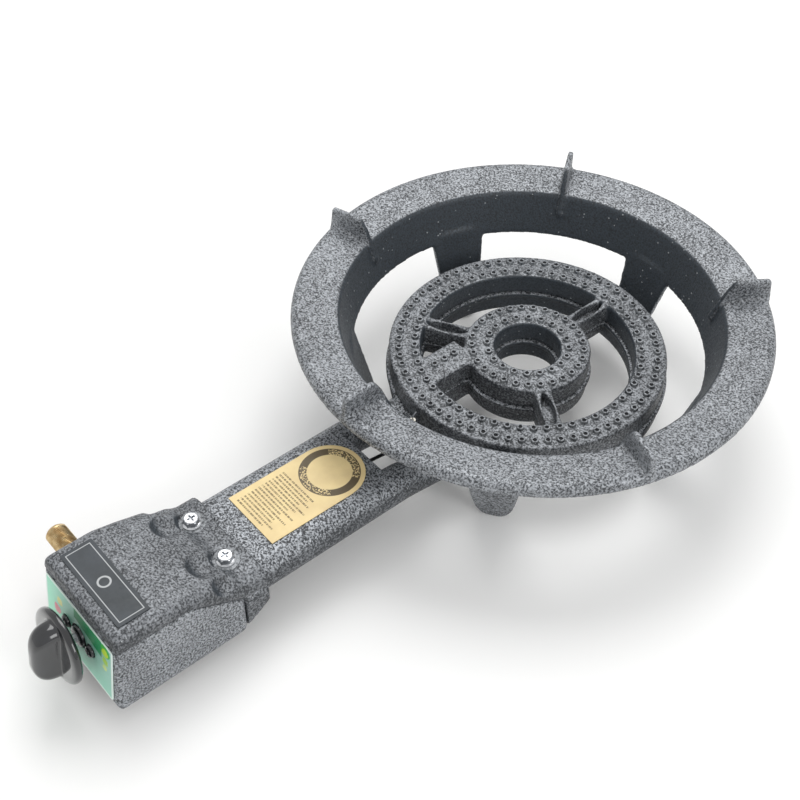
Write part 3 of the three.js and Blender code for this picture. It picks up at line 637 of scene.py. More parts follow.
# Small coloured marks on the front panel: middle, radius and colour
PANEL_MARKS = (((33.5, 17.5), 5.4, "#2fae3c"), ((33.0, 16.0), 3.6, "#b9d92f"),
               ((33.2, 7.5), 3.2, "#a5d23a"), ((32.6, 0.5), 2.6, "#cfe58a"),
               ((-24.0, 11.0), 3.4, "#e2ea8c"), ((-27.6, 1.0), 4.2, "#e58f98"))


def printed_panel(name, ground_colour):
    """Screen-printed film on the front panel: mint ground, a deep green sweep that narrows away
    from the knob, a pale border and a few small coloured marks."""
    finish, add, place = material(name)
    turn = np.pi / 2 - PANEL_TILT
    origin = VALVE + np.array([0, AXIS_Y / MM, 0])
    back = Matrix.Rotation(-turn, 3, "X") @ Vector(origin)
    spot = add("Mapping", {"Vector": place, "Scale": (1000, 1000, 1000),
                           "Rotation": (-turn, 0, 0), "Location": tuple(-back)})
    x, y = (add("SeparateXYZ", (spot,), axis) for axis in ("X", "Y"))
    flat = add("CombineXYZ", (x, y))
    radius = add("VectorMath", (flat,), "Value", operation="LENGTH")

    # The sweep: over a slanting line, clear of the knob's hole, between two uprights
    over = add("Math", (x, 0.2, y), operation="MULTIPLY_ADD")
    sweep = add("MapRange", (over, 12.6, 13.2))
    for limit in ((radius, 10.5, 11.0), (x, -6.0, -5.0), (x, 28.5, 29.2, 1.0, 0.0)):
        sweep = add("Math", (sweep, add("MapRange", limit)), operation="MULTIPLY")

    far_x = add("Math", (x,), operation="ABSOLUTE")
    border = add("MapRange", (far_x, 40.2, 40.5))
    for limit in ((y, 22.6, 22.9), (y, -23.2, -23.5)):
        border = add("Math", (border, add("MapRange", limit)), operation="MAXIMUM")

    fade = add("MapRange", (add("Math", (x, y), operation="ADD"), -30, 40))
    tone = add("Mix", {0: fade, 6: linear(ground_colour), 7: linear("#93c9b8")}, 2,
               data_type="RGBA")
    tone = add("Mix", {0: sweep, 6: tone, 7: linear("#0b9257")}, 2, data_type="RGBA")
    ragged = add("TexNoise", {"Vector": place, "Scale": cells(2.4)})
    for centre, size, colour in PANEL_MARKS:
        away = add("VectorMath", (flat, (*centre, 0)), "Value", operation="DISTANCE")
        reach = add("Math", (ragged, 3.4, away), operation="MULTIPLY_ADD")
        inside = add("MapRange", (reach, size + 1.5, size + 2.1, 1.0, 0.0))
        tone = add("Mix", {0: inside, 6: tone, 7: linear(colour)}, 2, data_type="RGBA")
    tone = add("Mix", {0: border, 6: tone, 7: linear("#e2f2ea")}, 2, data_type="RGBA")
    drift = add("TexNoise", {"Vector": place, "Scale": cells(8), "Detail": 3.0})
    close(add, {"Base Color": tone, "Roughness": add("MapRange", (drift, 0.3, 0.7, 0.3, 0.44))})
    return finish


def printed_label(name, ground_colour):
    """Matt printed film on the arm: tan ground, a broken dark ring at the round end and rows of
    ragged dashes that stand for small print and spell nothing."""
    finish, add, place = material(name)
    spot = add("Mapping", {"Vector": place, "Scale": (1000, 1000, 0),
                           "Location": (0, -LABEL_RING - AXIS_Y / MM, 0)})
    x, y = (add("SeparateXYZ", (spot,), axis) for axis in ("X", "Y"))

    # The ring: a band that is solid at its two sides and broken into scraps between them
    radius = add("VectorMath", (spot,), "Value", operation="LENGTH")
    turned = add("Math", (y, x), operation="ARCTAN2")
    turned = add("Math", (turned,), operation="COSINE")
    turned = add("Math", (turned,), operation="ABSOLUTE")
    solid = add("MapRange", (turned, 0.80, 0.82))
    scraps = add("TexNoise", {"Vector": place, "Scale": cells(1.3), "Roughness": 0.7})
    scraps = add("MapRange", (scraps, 0.44, 0.5))
    ring = add("Math", (scraps, solid), operation="MAXIMUM")
    for limit in ((radius, 16.6, 16.9), (radius, 22.3, 22.6, 1.0, 0.0)):
        ring = add("Math", (ring, add("MapRange", limit)), operation="MULTIPLY")
    rim = add("Math", (radius, 22.4), operation="SUBTRACT")
    rim = add("Math", (rim,), operation="ABSOLUTE")
    rim = add("MapRange", (rim, 0.3, 0.45, 1.0, 0.0))
    ring = add("Math", (ring, rim), operation="MAXIMUM")
    ring = add("Math", (ring, 0.9), operation="MULTIPLY")

    # The rows: dashes from a noise stretched along each row, with ragged right ends
    rows = add("Math", (y, LABEL_ROW), operation="DIVIDE")
    row = add("Math", (add("Math", (rows,), operation="FRACT"), 0.5), operation="SUBTRACT")
    row = add("Math", (row,), operation="ABSOLUTE")
    count = add("Math", (rows,), operation="FLOOR")
    stretched = add("CombineXYZ", (add("Math", (x, 1.1), operation="MULTIPLY"), count))
    glyph = add("TexNoise", {"Vector": stretched, "Scale": 1.0, "Detail": 1.0})
    ends = add("TexWhiteNoise", {"W": count}, "Value", noise_dimensions="1D")
    right = add("MapRange", (ends, 0, 1, 9.0, 22.0))
    right = add("Math", (right, x), operation="SUBTRACT")
    text = add("MapRange", (row, 0.2, 0.27, 1.0, 0.0))
    for limit in ((glyph, 0.45, 0.5), (right, 0, 0.3), (x, -21.3, -21.0),
                  (y, -24.9, -24.6, 1.0, 0.0), (y, -68.5, -68.2)):
        text = add("Math", (text, add("MapRange", limit)), operation="MULTIPLY")
    text = add("Math", (text, 0.85), operation="MULTIPLY")

    cloud = add("TexNoise", {"Vector": place, "Scale": cells(14), "Detail": 3.0})
    cloud = add("MapRange", (cloud, 0.3, 0.7))
    tone = add("Mix", {0: cloud, 6: linear(ground_colour), 7: linear("#e0c894")}, 2,
               data_type="RGBA")
    tone = add("Mix", {0: ring, 6: tone, 7: linear("#33291f")}, 2, data_type="RGBA")
    tone = add("Mix", {0: text, 6: tone, 7: linear("#5a4c30")}, 2, data_type="RGBA")
    printed_film(add, place, tone, 3, 0.42, 0.56)
    return finish


FINISHES = {}


def finish_of(name, make, *arguments):
    """A material made once and shared."""
    if name not in FINISHES:
        FINISHES[name] = make(name, *arguments)
    return FINISHES[name]


def iron(context, name, light, dark):
    """The castings' paint, with how silver its tops and its walls are: the walls' darker range is
    painted shade.
    """
    paint = context.scene.burner_paint
    return finish_of(name, hammertone, list(paint.silver), list(paint.vein),
                     list(paint.hollow), paint.flake, light, dark)


def zinc():
    """Bright zinc plate on the screws."""
    return finish_of("zinc_plated_steel", plated_steel, "#dfe1e4", 0.2, 0.34)


def black_steel():
    """Blackened steel on the valve's front parts: an oil-black skin with glossy edges."""
    return finish_of("blackened_steel", moulded, "#15171a", (0.22, 0.36), 0.15, 0.4)


# ---------------------------------------------------------------- shapes of the castings


def cone(height):
    """The funnel wall's inner radius at a height: a straight line through its two rims."""
    return WALL_BOTTOM_RADIUS + (height - WALL_BOTTOM) * CONE_SLOPE


def leg(degrees):
    """A leg: a tapering outline wrapped on the funnel's cone, so that its width runs along the
    arc and its thickness along the radius."""
    outline = softened([(-24, 80), (-23, 69), (-17, 24), (-14, 9), (-8, 0), (8, 0), (14, 9),
                        (17, 24), (23, 69), (24, 80)], 5)

    def wrap(points):
        side, height, depth = points.T
        radius = cone(height) + depth
        angle = np.radians(degrees) + side / radius
        return np.stack([radius * np.cos(angle), radius * np.sin(angle), height], -1)

    return plate(outline, 0, WALL_THICK, 1.2, wrap)


def fin(degrees):
    """A fin: an upright plate on the flange whose foot runs down the funnel's wall."""
    outline = softened([(186.2, 105), (186.2, 109), (184, 127.3), (182.4, 129), (158.7, 129),
                        (155.6, 127), (150.2, 117.5), (146.4, 108), (139.4, 91), (144.5, 89),
                        (152, 104), (183, 104)], 2)
    upright_fin = plate(outline, -2.3, 2.3, 0.9, lambda points: points[:, [0, 2, 1]])
    return turned_about_z(upright_fin, degrees)


def ring_section(inner, outer, low, high, edge):
    """A ring's section with softened corners."""
    return softened([(inner, low), (outer, low), (outer, high), (inner, high)], edge)


def mixing_tube(side):
    """A mixing tube: a circle carried along Y that flattens and sinks as it meets the head. The
    flattening grows by a smooth step between two stations."""
    y = np.linspace(-309, -99, 90)
    angle = np.linspace(0, TURN, 48, endpoint=False)[None, :]
    t = np.clip((y + 162) / (-120 + 162), 0, 1)
    flat = (t * t * (3 - 2 * t))[:, None]
    half = TUBE_RADIUS + (TUBE_FLAT_HALF - TUBE_RADIUS) * flat
    centre = TUBE_Z + (40.4 - TUBE_Z) * flat
    x = side * TUBE_X + TUBE_RADIUS * np.cos(angle) + 0 * flat
    grid = np.stack([x, y[:, None] + 0 * x, centre + half * np.sin(angle)], -1)
    return stacked(list(grid))


def saddle():
    """The arm's collar at the box: rounded sections along Y whose underside rises."""
    y = np.linspace(-306, -287, 12)
    bottom = np.interp(y, (-306, -296, -287), (15.5, 22, 29))
    loops = []
    for station, low in zip(y, bottom):
        ring = rounded_rect(-46.1, 46.1, low, HEAD_SPLIT + 0.2, 8)
        loops.append(np.column_stack([ring[:, 0], np.full(len(ring), station), ring[:, 1]]))
    return stacked(loops)


def box_loop(inset, height, turn_in):
    """The valve box's outline at a height: its front edge leans with the panel."""
    step = inset + turn_in
    front = VALVE[1] + (height - VALVE[2]) * np.tan(PANEL_TILT)
    loop = rounded_rect(-BOX_HALF + step, BOX_HALF - step, front + step, BOX_REAR - step,
                        BOX_CORNER - min(inset, 3))
    return np.column_stack([loop, np.full(len(loop), height)])


def cover_loops(inset, drop, front, rear):
    """The cover's sections along Y: straight skirts, quarter-round shoulders and a crown whose
    height follows its side view, drawn in over the last millimetres at the front."""
    y = np.concatenate([front + np.array([0, 0.5, 1.4, 2.8, 4.6]), np.arange(front + 6, rear, 2),
                        [rear]])
    turn_in = np.interp(y - front, (0, 0.5, 1.4, 2.8, 4.6), (4.6, 2.8, 1.4, 0.5, 0))
    crown = np.interp(y, *np.transpose(CROWN)) - inset - turn_in
    skirt = np.interp(y, *np.transpose(SKIRT)) - drop
    half = BOX_HALF - 0.9 * inset - 0.35 * turn_in
    corner = (np.interp(y, (-367, -330, -306), (8, 11, 13)) - 0.5 * inset)[:, None]
    quarter = np.linspace(0, np.pi / 2, 7)
    angle = np.concatenate([quarter, quarter + np.pi / 2])[None, :]
    side = np.repeat([1, -1], 7)[None, :]
    x = side * (half[:, None] - corner) + corner * np.cos(angle)
    z = crown[:, None] - corner + corner * np.sin(angle)
    z = np.maximum(z, skirt[:, None] + 0.5)
    x = np.hstack([half[:, None], x, -half[:, None]])
    z = np.hstack([skirt[:, None], z, skirt[:, None]])
    return list(np.stack([x, y[:, None] + 0 * x, z], -1))


# ---------------------------------------------------------------- operators


class CastPotStand(bpy.types.Operator):
    """Casts the pot stand: flange, funnel wall, fins and legs in one piece."""

    bl_idname = "burner.cast_pot_stand"
    bl_label = "Cast the pot stand"

    def execute(self, context):
        sizes = context.scene.burner_sizes
        profile = softened([
            (137.4, 71.3), (143, 71.3), (cone(97) + WALL_THICK, 97), (157.5, 100), (185, 102.6),
            (185.8, 104.2), (185.3, 107.5), (183.8, 110.4), (180.5, 112), (149.9, 107.4),
            (148.3, 106.2)], 1.8)
        step = 360 / SPOKES
        parts = [spun(profile, 300), block((-18, 18), (-149, -127), (57.6, 73.3), 1.5)]
        parts += [leg(-90 + step * (i + 0.5)) for i in range(SPOKES)]
        parts += [fin(-90 + step * i) for i in range(SPOKES)]
        stand = cast("pot_stand", parts, [], sizes.stand_grain, 3)
        paint = iron(context, "hammertone_on_stand", (-0.2, 1.05), (-0.15, 0.85))
        settle(stand, "stand", "hammertone_iron", paint, "stand_ring")
        return {"FINISHED"}


class CastBurnerHead(bpy.types.Operator):
    """Casts the head's top: two rings, their bridges and the feed channel, with raised ports."""

    bl_idname = "burner.cast_burner_head"
    bl_label = "Cast the burner head"

    def execute(self, context):
        sizes = context.scene.burner_sizes
        parts = [spun(ring_section(*ring, HEAD_SPLIT, HEAD_TOP, 1.6), 220) for ring in RINGS]
        parts.append(block(FEED_SIDES, (-90, -40), (HEAD_SPLIT, HEAD_TOP), 1.2))
        bar = block(BRIDGE_REACH, BRIDGE_SIDES, (HEAD_SPLIT, 67), 1)
        parts += [turned_about_z(bar, degrees) for degrees in BRIDGES]
        t = np.linspace(-1, 1, 14)
        leaf = np.concatenate([np.stack([67.3 + 18.7 * t, -4.8 * (1 - t * t)], -1)[:-1],
                               np.stack([67.3 - 18.7 * t, 4.8 * (1 - t * t)], -1)[:-1]])
        pocket = plate(leaf, 58, 73, 0.4, upright)
        cuts = [turned_about_z(pocket, degrees) for degrees in BRIDGES]
        head = cast("burner_head", parts, cuts, sizes.part_grain, 2)
        paint = iron(context, "hammertone_on_head", (-0.2, 0.85), (-0.25, 0.5))
        settle(head, "stand", "dark_iron", paint, "burner_top")
        bosses, bores = self.ports(sizes.port_radius / MM)
        # Painted shadow: the bosses' walls are painted near-black, their tops stay light
        dark = iron(context, "hammertone_on_ports", (0.0, 1.0), (-0.4, 0.1))
        settle(bosses, "stand", "dark_iron", dark, "burner_top")
        # Painted shade: a near-black plug fills the foot of each port's bore
        soot = finish_of("sooted_iron", moulded, "#08090a", (0.7, 0.9), 0.3)
        settle(bores, "stand", "dark_iron", soot, "burner_top")
        return {"FINISHED"}

    def ports(self, hole):
        """The raised ports: one small turned profile repeated at every port's place."""
        rows = []
        for radius, count in PORT_ROWS:
            angle = TURN * (np.arange(count) + 0.5) / count
            rows.append(np.stack([radius * np.cos(angle), radius * np.sin(angle)], -1))
        centres = np.concatenate([*rows, np.array(FEED_PORTS)])
        radius = np.array([0, 3.15, 3.1, 2.8, 2.4, hole + 0.3, hole, hole, 0])
        height = np.array([-0.6, -0.6, 0.6, 1.8, 2.2, 2.2, 1.9, 0.2, 0.2])
        bosses = self.repeated(radius, height, centres)
        # The bores: near-black plugs put where the ports' bores hold only shade
        radius = np.array([0, hole - 0.02, hole - 0.02, 0])
        bores = self.repeated(radius, np.array([0.25, 0.25, 1.3, 1.3]), centres)
        return made("port_bosses", [bosses], 60), made("port_bores", [bores], 60)

    def repeated(self, radius, height, centres):
        """One turned profile, ten faces round, copied to every centre on the head's top."""
        angle = np.linspace(0, TURN, 10, endpoint=False)
        ring = np.stack([radius[:, None] * np.cos(angle), radius[:, None] * np.sin(angle),
                         height[:, None] + HEAD_TOP + 0 * angle], -1)
        points, quads = skin(ring, False, True)
        offset = np.column_stack([centres, np.zeros(len(centres))])
        every = (offset[:, None] + points[None]).reshape(-1, 3)
        shift = (np.arange(len(centres)) * len(points))[:, None, None]
        return every, (quads[None] + shift).reshape(-1, 4)


class CastArm(bpy.types.Operator):
    """Casts the body: lower trays, mixing tubes, the arm's web and the collar at the box."""

    bl_idname = "burner.cast_arm"
    bl_label = "Cast the arm and trays"

    def execute(self, context):
        top = HEAD_SPLIT - GAP
        parts = []
        for inner, outer in RINGS:
            section = softened([
                (inner + 3, TRAY_FLOOR), (outer - 3, TRAY_FLOOR), (outer, TRAY_FLOOR + 3),
                (outer, TRAY_LEDGE), (outer + TRAY_LIP, TRAY_LEDGE), (outer + TRAY_LIP, top),
                (inner - TRAY_LIP, top), (inner - TRAY_LIP, TRAY_LEDGE), (inner, TRAY_LEDGE),
                (inner, TRAY_FLOOR + 3)], 0.8)
            parts.append(spun(section, 220))
        parts.append(block(FEED_SIDES, (-100, -44), (TRAY_FLOOR, top), 1))
        bar = block(BRIDGE_REACH, BRIDGE_SIDES, (39, top), 1)
        parts += [turned_about_z(bar, degrees) for degrees in BRIDGES]
        parts += [mixing_tube(-1), mixing_tube(1), saddle()]
        parts.append(block((-TUBE_X, TUBE_X), (-300, -167), (57, WEB_TOP), 0.8))
        parts.append(block((-20, 20), (-146, -128), (50.5, 57), 0.8))
        shelf = softened([(-42, 49), (42, 49), (42, 54.5), (35, 62), (-35, 62), (-42, 54.5)], 2)
        parts.append(plate(shelf, -309.5, -287, 0.6, lambda points: points[:, [0, 2, 1]]))
        arm = cast("arm_casting", parts, [], context.scene.burner_sizes.arm_grain, 3)
        paint = iron(context, "hammertone_on_arm", (-0.5, 1.25), (-0.3, 0.45))
        settle(arm, "stand", "hammertone_iron", paint, "burner_body")
        return {"FINISHED"}


class FormValveBox(bpy.types.Operator):
    """Forms the valve box's lower shell, open at the top, with its air hole and panel hole."""

    bl_idname = "burner.form_valve_box"
    bl_label = "Form the valve box"

    def execute(self, context):
        outer = [(14, 5.2), (14.5, 3.2), (15.6, 1.6), (17.4, 0.6), (20, 0), (48, 0), (92, 0)]
        inner = [(17, 5), (18.6, 1.6), (22, 0), (60, 0), (95, 0)]
        shell = stacked([box_loop(0, *level) for level in outer])
        hollow = stacked([box_loop(BOX_WALL, *level) for level in inner])
        above = plate([(-430, 75.7), (-349, 75.7), (-305, 50.7), (-290, 50.7), (-290, 99),
                       (-430, 99)], -60, 60, 0.01, across)
        air = plate(rounded_rect(-28, 28, -388, -330, 8), 8, 20, 0.01, upright)
        sill = block((-37.5, 37.5), (-425, -398), (0, SILL_TOP), 0.5)
        bend = np.radians(np.linspace(180, 270, 8))
        toe = plate([(-430, 25), *np.stack([10.5 * np.cos(bend) - 401, 10.5 * np.sin(bend) + 25],
                                           -1), (-401, 5), (-430, 5)], -60, 60, 0.01, across)
        panel = on_panel(self.drill(NOSE_HOLE, -12, 6))
        inlet = on_inlet(self.drill(INLET_HOLE, 38, 52))
        notch = block((-43.4, 43.4), (-315, -296), (46.5, 60), 0.1)
        points, quads = self.drill(TUBE_HOLE, 15, 34)
        x, y, z = points.T
        mouths = [(np.stack([x + side * TUBE_X, z - 330, y + TUBE_Z], -1), quads)
                  for side in (-1, 1)]
        cuts = [hollow, above, air, sill, toe, panel, inlet, notch, *mouths]
        box = cast("valve_box", [shell], cuts, context.scene.burner_sizes.part_grain, 2)
        paint = iron(context, "hammertone_on_box", (-0.25, 1.0), (-0.25, 1.05))
        settle(box, "stand", "hammertone_iron", paint, "box_base")
        return {"FINISHED"}

    def drill(self, radius, low, high):
        """A cylinder about Z that cuts a round hole."""
        return polar([(low, 0), (low, radius), (high, radius), (high, 0)], 48)


class FormValveCover(bpy.types.Operator):
    """Forms the valve box's cover: a sloping shell with a scooped well round each screw."""

    bl_idname = "burner.form_valve_cover"
    bl_label = "Form the cover"

    def execute(self, context):
        shell = stacked(cover_loops(0, 0, COVER_FRONT, COVER_END))
        hollow = stacked(cover_loops(COVER_WALL, 20, COVER_FRONT + COVER_WALL, -336))
        shelf_room = block((-42.9, 42.9), (-337, -281), (20, 62.6), 0.5)
        seat = [(62.3, 0), (62.3, 9.8), (SEAT_TOP + 0.6, 9.8), (SEAT_TOP + 0.6, 0)]
        well = [(SEAT_TOP, 0), (SEAT_TOP, 8.6), (67.2, 9.8), (70, 11), (74, 12), (80, 14.5),
                (90, 20), (90, 0)]
        cuts = [hollow, shelf_room, block((-15, 12), (-289.8, -280), (58, 70), 0.2)]
        cuts += [moved(ball(13), side * 46, -315.5, 78.5) for side in (-1, 1)]
        cuts.append(moved(ball(10), 0, -309, 82))
        cuts += [moved(ball(15), x * 1.06, -319.5, 85.5) for x, _ in COVER_SCREWS]
        cuts += [moved(polar(well, 64), *screw) for screw in COVER_SCREWS]
        body = cast("valve_cover", [shell], cuts, context.scene.burner_sizes.part_grain, 1)
        pads = [moved(polar(seat, 64), *screw) for screw in COVER_SCREWS]
        paint = iron(context, "hammertone_on_cover", (-0.15, 0.72), (-0.25, 0.4))
        settle(body, "stand", "hammertone_iron", paint, "box_cover")
        seats = made("cover_seats", pads)
        settle(seats, "stand", "hammertone_iron", paint, "box_cover")
        return {"FINISHED"}


class MouldKnob(bpy.types.Operator):
    """Moulds the knob: a rimmed disc with a thick grip bar across it."""

    bl_idname = "burner.mould_knob"
    bl_label = "Mould the knob"

    def execute(self, context):
        disc = softened([(0.01, 0), (25, 0), (27.5, 1), (28, 2.6), (27.8, 4.4), (26.4, 5.8),
                         (23, 6.6), (0.01, 7.2)], 1.0)
        loops = []
        for t in np.sin(np.linspace(0, np.pi / 2, 18))[:-1]:
            length = 24.6 * (1 - t ** 2.9) ** (1 / 2.9)
            width = 9.6 * (1 - 0.16 * t) * (1 - t ** 4) ** (1 / 2.2)
            loop = rounded_rect(-width, width, -length, length, min(width, length) * 0.85)
            loops.append(np.column_stack([loop, np.full(len(loop), 4 + 20 * t)]))
        parts = [on_panel(moved(part, z=KNOB_BASE))
                 for part in (spun(disc, 120), stacked(loops))]
        knob = cast("control_knob", parts, [], context.scene.burner_sizes.knob_grain, 5)
        gloss = finish_of("moulded_phenolic", moulded, list(context.scene.burner_paint.knob),
                          (0.09, 0.15), 0.04, 0.9)
        settle(knob, "stem", "knob_plastic", gloss, "knob")
        return {"FINISHED"}


class MakeScrews(bpy.types.Operator):
    """Makes the flanged cover screws and the valve's two black screws."""

    bl_idname = "burner.make_screws"
    bl_label = "Make the screws"

    def execute(self, context):
        head, slot = hexagon(10.2), cross(3.1, 0.75)
        flanged = [(-12, 0), (-12, 1.9), (-0.2, 2.1), (0, 6.2), (0.4, 6.9), (1.0, 6.9),
                   (1.5, 6.0), (1.7, head + 0.15), (2.2, head), (5.0, head),
                   (5.6, np.minimum(head, 5.1)), (5.95, 4.5), (5.95, slot + 0.1),
                   (5.7, slot), (4.0, slot * 0.7), (3.8, 0)]
        for (x, y), side in zip(COVER_SCREWS, ("left", "right")):
            screw = moved(polar(flanged), x, y, SEAT_TOP + GAP)
            piece = made(f"flanged_screw_{side}", [screw], 30)
            settle(piece, "stand", "zinc_steel", zinc(), f"cover_screw_{side}")
        slot = cross(2.6, 0.6)
        pan = [(-14, 0), (-14, 1.8), (0, 1.8), (0, 4.5), (1.4, 4.6), (2.6, 4.1), (3.3, 3.1),
               (3.35, slot + 0.1), (3.2, slot), (2.0, slot * 0.6), (1.9, 0)]
        for x, side in ((-PANEL_SCREW, "left"), (PANEL_SCREW, "right")):
            screw = on_panel(moved(polar(pan), x, 0, GAP))
            piece = made(f"panel_screw_{side}", [screw], 30)
            settle(piece, "stand", "black_steel", black_steel(), f"valve_screw_{side}")
        return {"FINISHED"}


class TurnFittings(bpy.types.Operator):
    """Turns the threaded gas inlet, its nut and the valve's nose."""

    bl_idname = "burner.turn_fittings"
    bl_label = "Turn the fittings"

    def execute(self, context):
        brass = finish_of("turned_brass", turned_brass)
        inlet = made("threaded_inlet", [self.threaded()], 50)
        settle(inlet, "stand", "brass", brass, "inlet_fitting")
        flats = hexagon(21.8)
        nut = [(46.8, 8.65), (46.8, np.minimum(flats, 11.2)), (47.6, flats), (52.2, flats),
               (53, np.minimum(flats, 11)), (53, 9.1), (52.4, 8.65), (46.8, 8.65)]
        lock = made("inlet_lock_nut", [on_inlet(polar(nut))], 30)
        settle(lock, "stand", "brass", brass, "inlet_nut_outer")
        nose = [(3.15, -12), (7.7, -12), (7.7, -2), (8.2, -1.8), (8.2, 0.3), (7.6, 2.4),
                (6.8, 2.9), (5.2, 3.2), (3.15, 3.2)]
        gland = made("valve_nose", [on_panel(spun(nose, 64))], 40)
        settle(gland, "stand", "black_steel", black_steel(), "valve_gland")
        return {"FINISHED"}

    def threaded(self):
        """The inlet: a bore and an outside skin about X. The thread is a cosine ridge in x plus
        the turn's share of one pitch, faded in and out at its ends."""
        pitch, crest, depth = 1.337, 8.33, 0.75
        outside = np.concatenate([[15.6, 15.7], [35.9, 36.0], [53.4], np.arange(54.5, 83, 0.17),
                                  [84.5, 86.0]])
        base = np.interp(outside, (15.6, 15.7, 35.9, 36, 53, 54.5, 84.5, 86),
                         (7.4, 7.6, 7.6, 8.2, crest, crest, crest, 7.0))
        angle = np.linspace(0, TURN, 72, endpoint=False)[None, :]
        fade = (np.clip((outside - 54.5) / 2, 0, 1) * np.clip((84 - outside) / 2, 0, 1))
        wave = 0.5 - 0.5 * np.cos(TURN * outside[:, None] / pitch + angle)
        radius = np.minimum(base[:, None], crest) - depth * fade[:, None] * wave
        station = outside[:, None] + 0 * angle
        bore = np.array([85.6, 60.0, 15.6])[:, None] + 0 * angle
        radius = np.vstack([radius, 0 * angle + 4.6, 0 * bore + 4.4])
        station = np.vstack([station, 0 * angle + 86.0, bore])
        grid = np.stack([radius * np.cos(angle), radius * np.sin(angle), station], -1)
        return on_inlet(skin(grid, True, True))


class FitInnerParts(bpy.types.Operator):
    """Fits the spark lead and the return spring, and finishes the parts that keep their CAD
    shape."""

    bl_idname = "burner.fit_inner_parts"
    bl_label = "Fit the inner parts"

    def execute(self, context):
        brass = finish_of("turned_brass", turned_brass)
        steel = finish_of("turned_steel", plated_steel, "#b9bcc0", 0.28, 0.45)
        sleeve = finish_of("silicone_sleeve", moulded, "#1a1b1d", (0.5, 0.7), 0.2)
        shell = finish_of("moulded_abs", moulded, "#1d2024", (0.4, 0.55), 0.3)
        lead = made("ignition_lead", [self.lead()])
        settle(lead, "stand", "lead_rubber", sleeve, "spark_lead")
        coil = made("return_coil", [on_panel(self.coil())])
        settle(coil, "plug", "plain_steel", steel, "return_spring")
        groups = {
            brass: ("valve_body", "valve_plug", "gas_rail", "injector_left", "injector_right",
                    "inlet_nut_inner"),
            steel: ("valve_stem", "electrode_pin"),
            zinc(): ("air_shutter_left", "air_shutter_right", "lead_clip_1", "lead_clip_2",
                     "electrode_bracket", "head_screw_1", "head_screw_2", "head_screw_3",
                     "stand_bolt_left", "stand_bolt_right"),
            shell: ("igniter_body",),
            finish_of("glazed_alumina", glazed_ceramic): ("electrode_ceramic",),
        }
        for finish, names in groups.items():
            for name in names:
                dress(name, finish)
        return {"FINISHED"}

    def lead(self):
        """The spark lead: a circle carried along a smooth curve through its fixed points, each
        span a cubic that leaves and enters along the line between its neighbours."""
        stops = np.array([
            (24, -372.6, 26.8), (24, -372.6, 26.8), (24, -366, 26.4), (24, -352, 29),
            (12, -336, 44), (0, -322, 51), (0, -290, 51), (0, -200, 51), (0, -160, 47),
            (0, -136, 43.5), (0, -124, 42), (0, -119.4, 42.2), (0, -119.4, 43.6),
            (0, -119.4, 43.6)])
        p0, p1, p2, p3 = (stops[i:len(stops) - 3 + i, None] for i in range(4))
        t = np.linspace(0, 1, 10, endpoint=False)[None, :, None]
        path = 0.5 * (2 * p1 + (p2 - p0) * t + (2 * p0 - 5 * p1 + 4 * p2 - p3) * t ** 2
                      + (3 * p1 - p0 - 3 * p2 + p3) * t ** 3)
        path = np.vstack([path.reshape(-1, 3), stops[-1]])
        ahead = np.gradient(path, axis=0)
        ahead /= np.linalg.norm(ahead, axis=1, keepdims=True)
        side = np.cross(ahead, (1.0, 0.05, 0.02))
        side /= np.linalg.norm(side, axis=1, keepdims=True)
        other = np.cross(ahead, side)
        angle = np.linspace(0, TURN, 16, endpoint=False)[None, :, None]
        grid = path[:, None] + 1.4 * (side[:, None] * np.cos(angle)
                                      + other[:, None] * np.sin(angle))
        return stacked(list(grid))

    def coil(self):
        """The return spring: a small circle carried along a helix about Z."""
        turns, wire, radius = 5, 0.45, 4.4
        t = np.linspace(0, 1, 200)
        angle = TURN * turns * t
        height = -19.2 + 7.3 * t
        outward = np.stack([np.cos(angle), np.sin(angle), 0 * t], -1)
        centre = outward * radius + np.stack([0 * t, 0 * t, height], -1)
        section = np.linspace(0, TURN, 10, endpoint=False)[None, :, None]
        grid = centre[:, None] + wire * (outward[:, None] * np.cos(section)
                                         + np.array([0, 0, 1.0]) * np.sin(section))
        return stacked(list(grid))


class PrintFilms(bpy.types.Operator):
    """Prints the front panel's film, the arm's label and the cover's badge."""

    bl_idname = "burner.print_films"
    bl_label = "Print the films"

    def execute(self, context):
        paint = context.scene.burner_paint
        dress("front_decal", finish_of("printed_panel_film", printed_panel, list(paint.panel)))
        dress("arm_label", finish_of("printed_arm_label", printed_label, list(paint.label)))
        dress("cover_badge", finish_of("printed_badge_film", printed_badge))
        return {"FINISHED"}


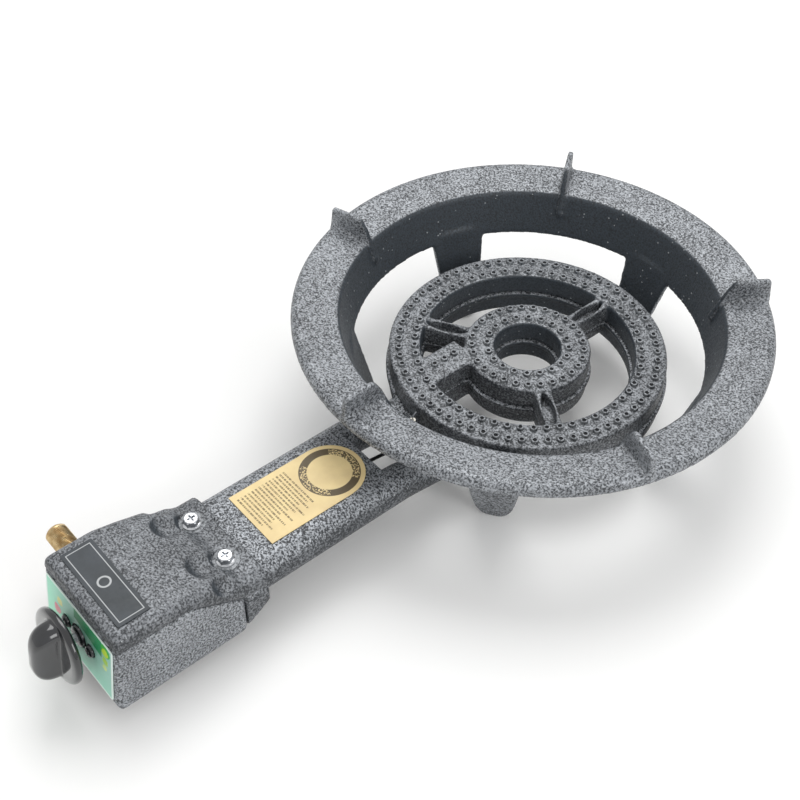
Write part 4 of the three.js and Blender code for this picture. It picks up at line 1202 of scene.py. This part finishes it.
class SetStage(bpy.types.Operator):
    """Sets the pale floor, the soft studio light and the camera."""

    bl_idname = "burner.set_stage"
    bl_label = "Set the stage"

    def execute(self, context):
        scene = context.scene
        floor_mesh = bpy.data.meshes.new("floor")
        reach = 8.0
        corners = [(-reach, -reach, -0.0005), (reach, -reach, -0.0005), (reach, reach, -0.0005),
                   (-reach, reach, -0.0005)]
        floor_mesh.from_pydata(corners, [], [(0, 1, 2, 3)])
        floor = bpy.data.objects.new("floor", floor_mesh)
        scene.collection.objects.link(floor)
        paper, add, _ = material("paper_sweep")
        close(add, {"Base Color": linear("#fbfbfa"), "Roughness": 0.9})
        floor_mesh.materials.append(paper)
        scene.view_settings.view_transform = "Standard"
        for soft_box in SOFT_BOXES:
            self.light(scene, *soft_box)
        sky = bpy.data.worlds.new("studio")
        sky.use_nodes = True
        sky.node_tree.nodes["Background"].inputs["Color"].default_value = (1, 1, 1, 1)
        sky.node_tree.nodes["Background"].inputs["Strength"].default_value = SKY_STRENGTH
        scene.world = sky
        self.camera(scene)
        return {"FINISHED"}

    def light(self, scene, name, place, size, power):
        """A square soft box that faces the middle of the burner."""
        lamp = bpy.data.lights.new(name, "AREA")
        lamp.size = size
        lamp.energy = power
        box = bpy.data.objects.new(name, lamp)
        box.location = place
        aim = Vector((0, 0, 0.06)) - Vector(place)
        box.rotation_euler = aim.to_track_quat("-Z", "Y").to_euler()
        scene.collection.objects.link(box)

    def camera(self, scene):
        """The camera: its back axis from an azimuth and an elevation, turned by a small roll."""
        azimuth, elevation, roll = np.radians(CAMERA_TURN)
        back = np.array([np.sin(azimuth) * np.cos(elevation),
                         -np.cos(azimuth) * np.cos(elevation), np.sin(elevation)])
        level = np.array([np.cos(azimuth), np.sin(azimuth), 0])
        rise = np.cross(back, level)
        right = np.cos(roll) * level + np.sin(roll) * rise
        up = np.cos(roll) * rise - np.sin(roll) * level
        place = (back * CAMERA_BACK - right * CAMERA_LEFT - up * CAMERA_DOWN + CAMERA_AIM) * MM
        place[1] += AXIS_Y
        lens = bpy.data.cameras.new("camera")
        lens.sensor_width = 36
        lens.lens = LENS
        lens.shift_x, lens.shift_y = LENS_SHIFT
        lens.clip_start = 0.01
        camera = bpy.data.objects.new("camera", lens)
        turn = Matrix(np.stack([right, up, back], 1).tolist()).to_4x4()
        camera.matrix_world = Matrix.Translation(place.tolist()) @ turn
        scene.collection.objects.link(camera)
        scene.camera = camera


OPERATORS = (CastPotStand, CastBurnerHead, CastArm, FormValveBox, FormValveCover, MouldKnob,
             MakeScrews, TurnFittings, FitInnerParts, PrintFilms, SetStage)


class BurnerPanel(bpy.types.Panel):
    """Lists the steps that build the burner."""

    bl_idname = "VIEW3D_PT_ring_burner"
    bl_label = "Ring burner"
    bl_space_type = "VIEW_3D"
    bl_region_type = "UI"
    bl_category = "Burner"

    def draw(self, context):
        for group in (context.scene.burner_paint, context.scene.burner_sizes):
            for name in group.bl_rna.properties.keys():
                if name not in ("rna_type", "name"):
                    self.layout.prop(group, name)
        for operator in OPERATORS:
            self.layout.operator(operator.bl_idname)


CLASSES = (BurnerPaint, BurnerSizes, *OPERATORS, BurnerPanel)


def register():
    for each in CLASSES:
        bpy.utils.register_class(each)
    bpy.types.Scene.burner_paint = bpy.props.PointerProperty(type=BurnerPaint)
    bpy.types.Scene.burner_sizes = bpy.props.PointerProperty(type=BurnerSizes)


def unregister():
    del bpy.types.Scene.burner_sizes
    del bpy.types.Scene.burner_paint
    for each in reversed(CLASSES):
        bpy.utils.unregister_class(each)


def main():
    register()
    for operator in OPERATORS:
        group, name = operator.bl_idname.split(".")
        getattr(getattr(bpy.ops, group), name)()


if __name__ == "__main__":
    main()
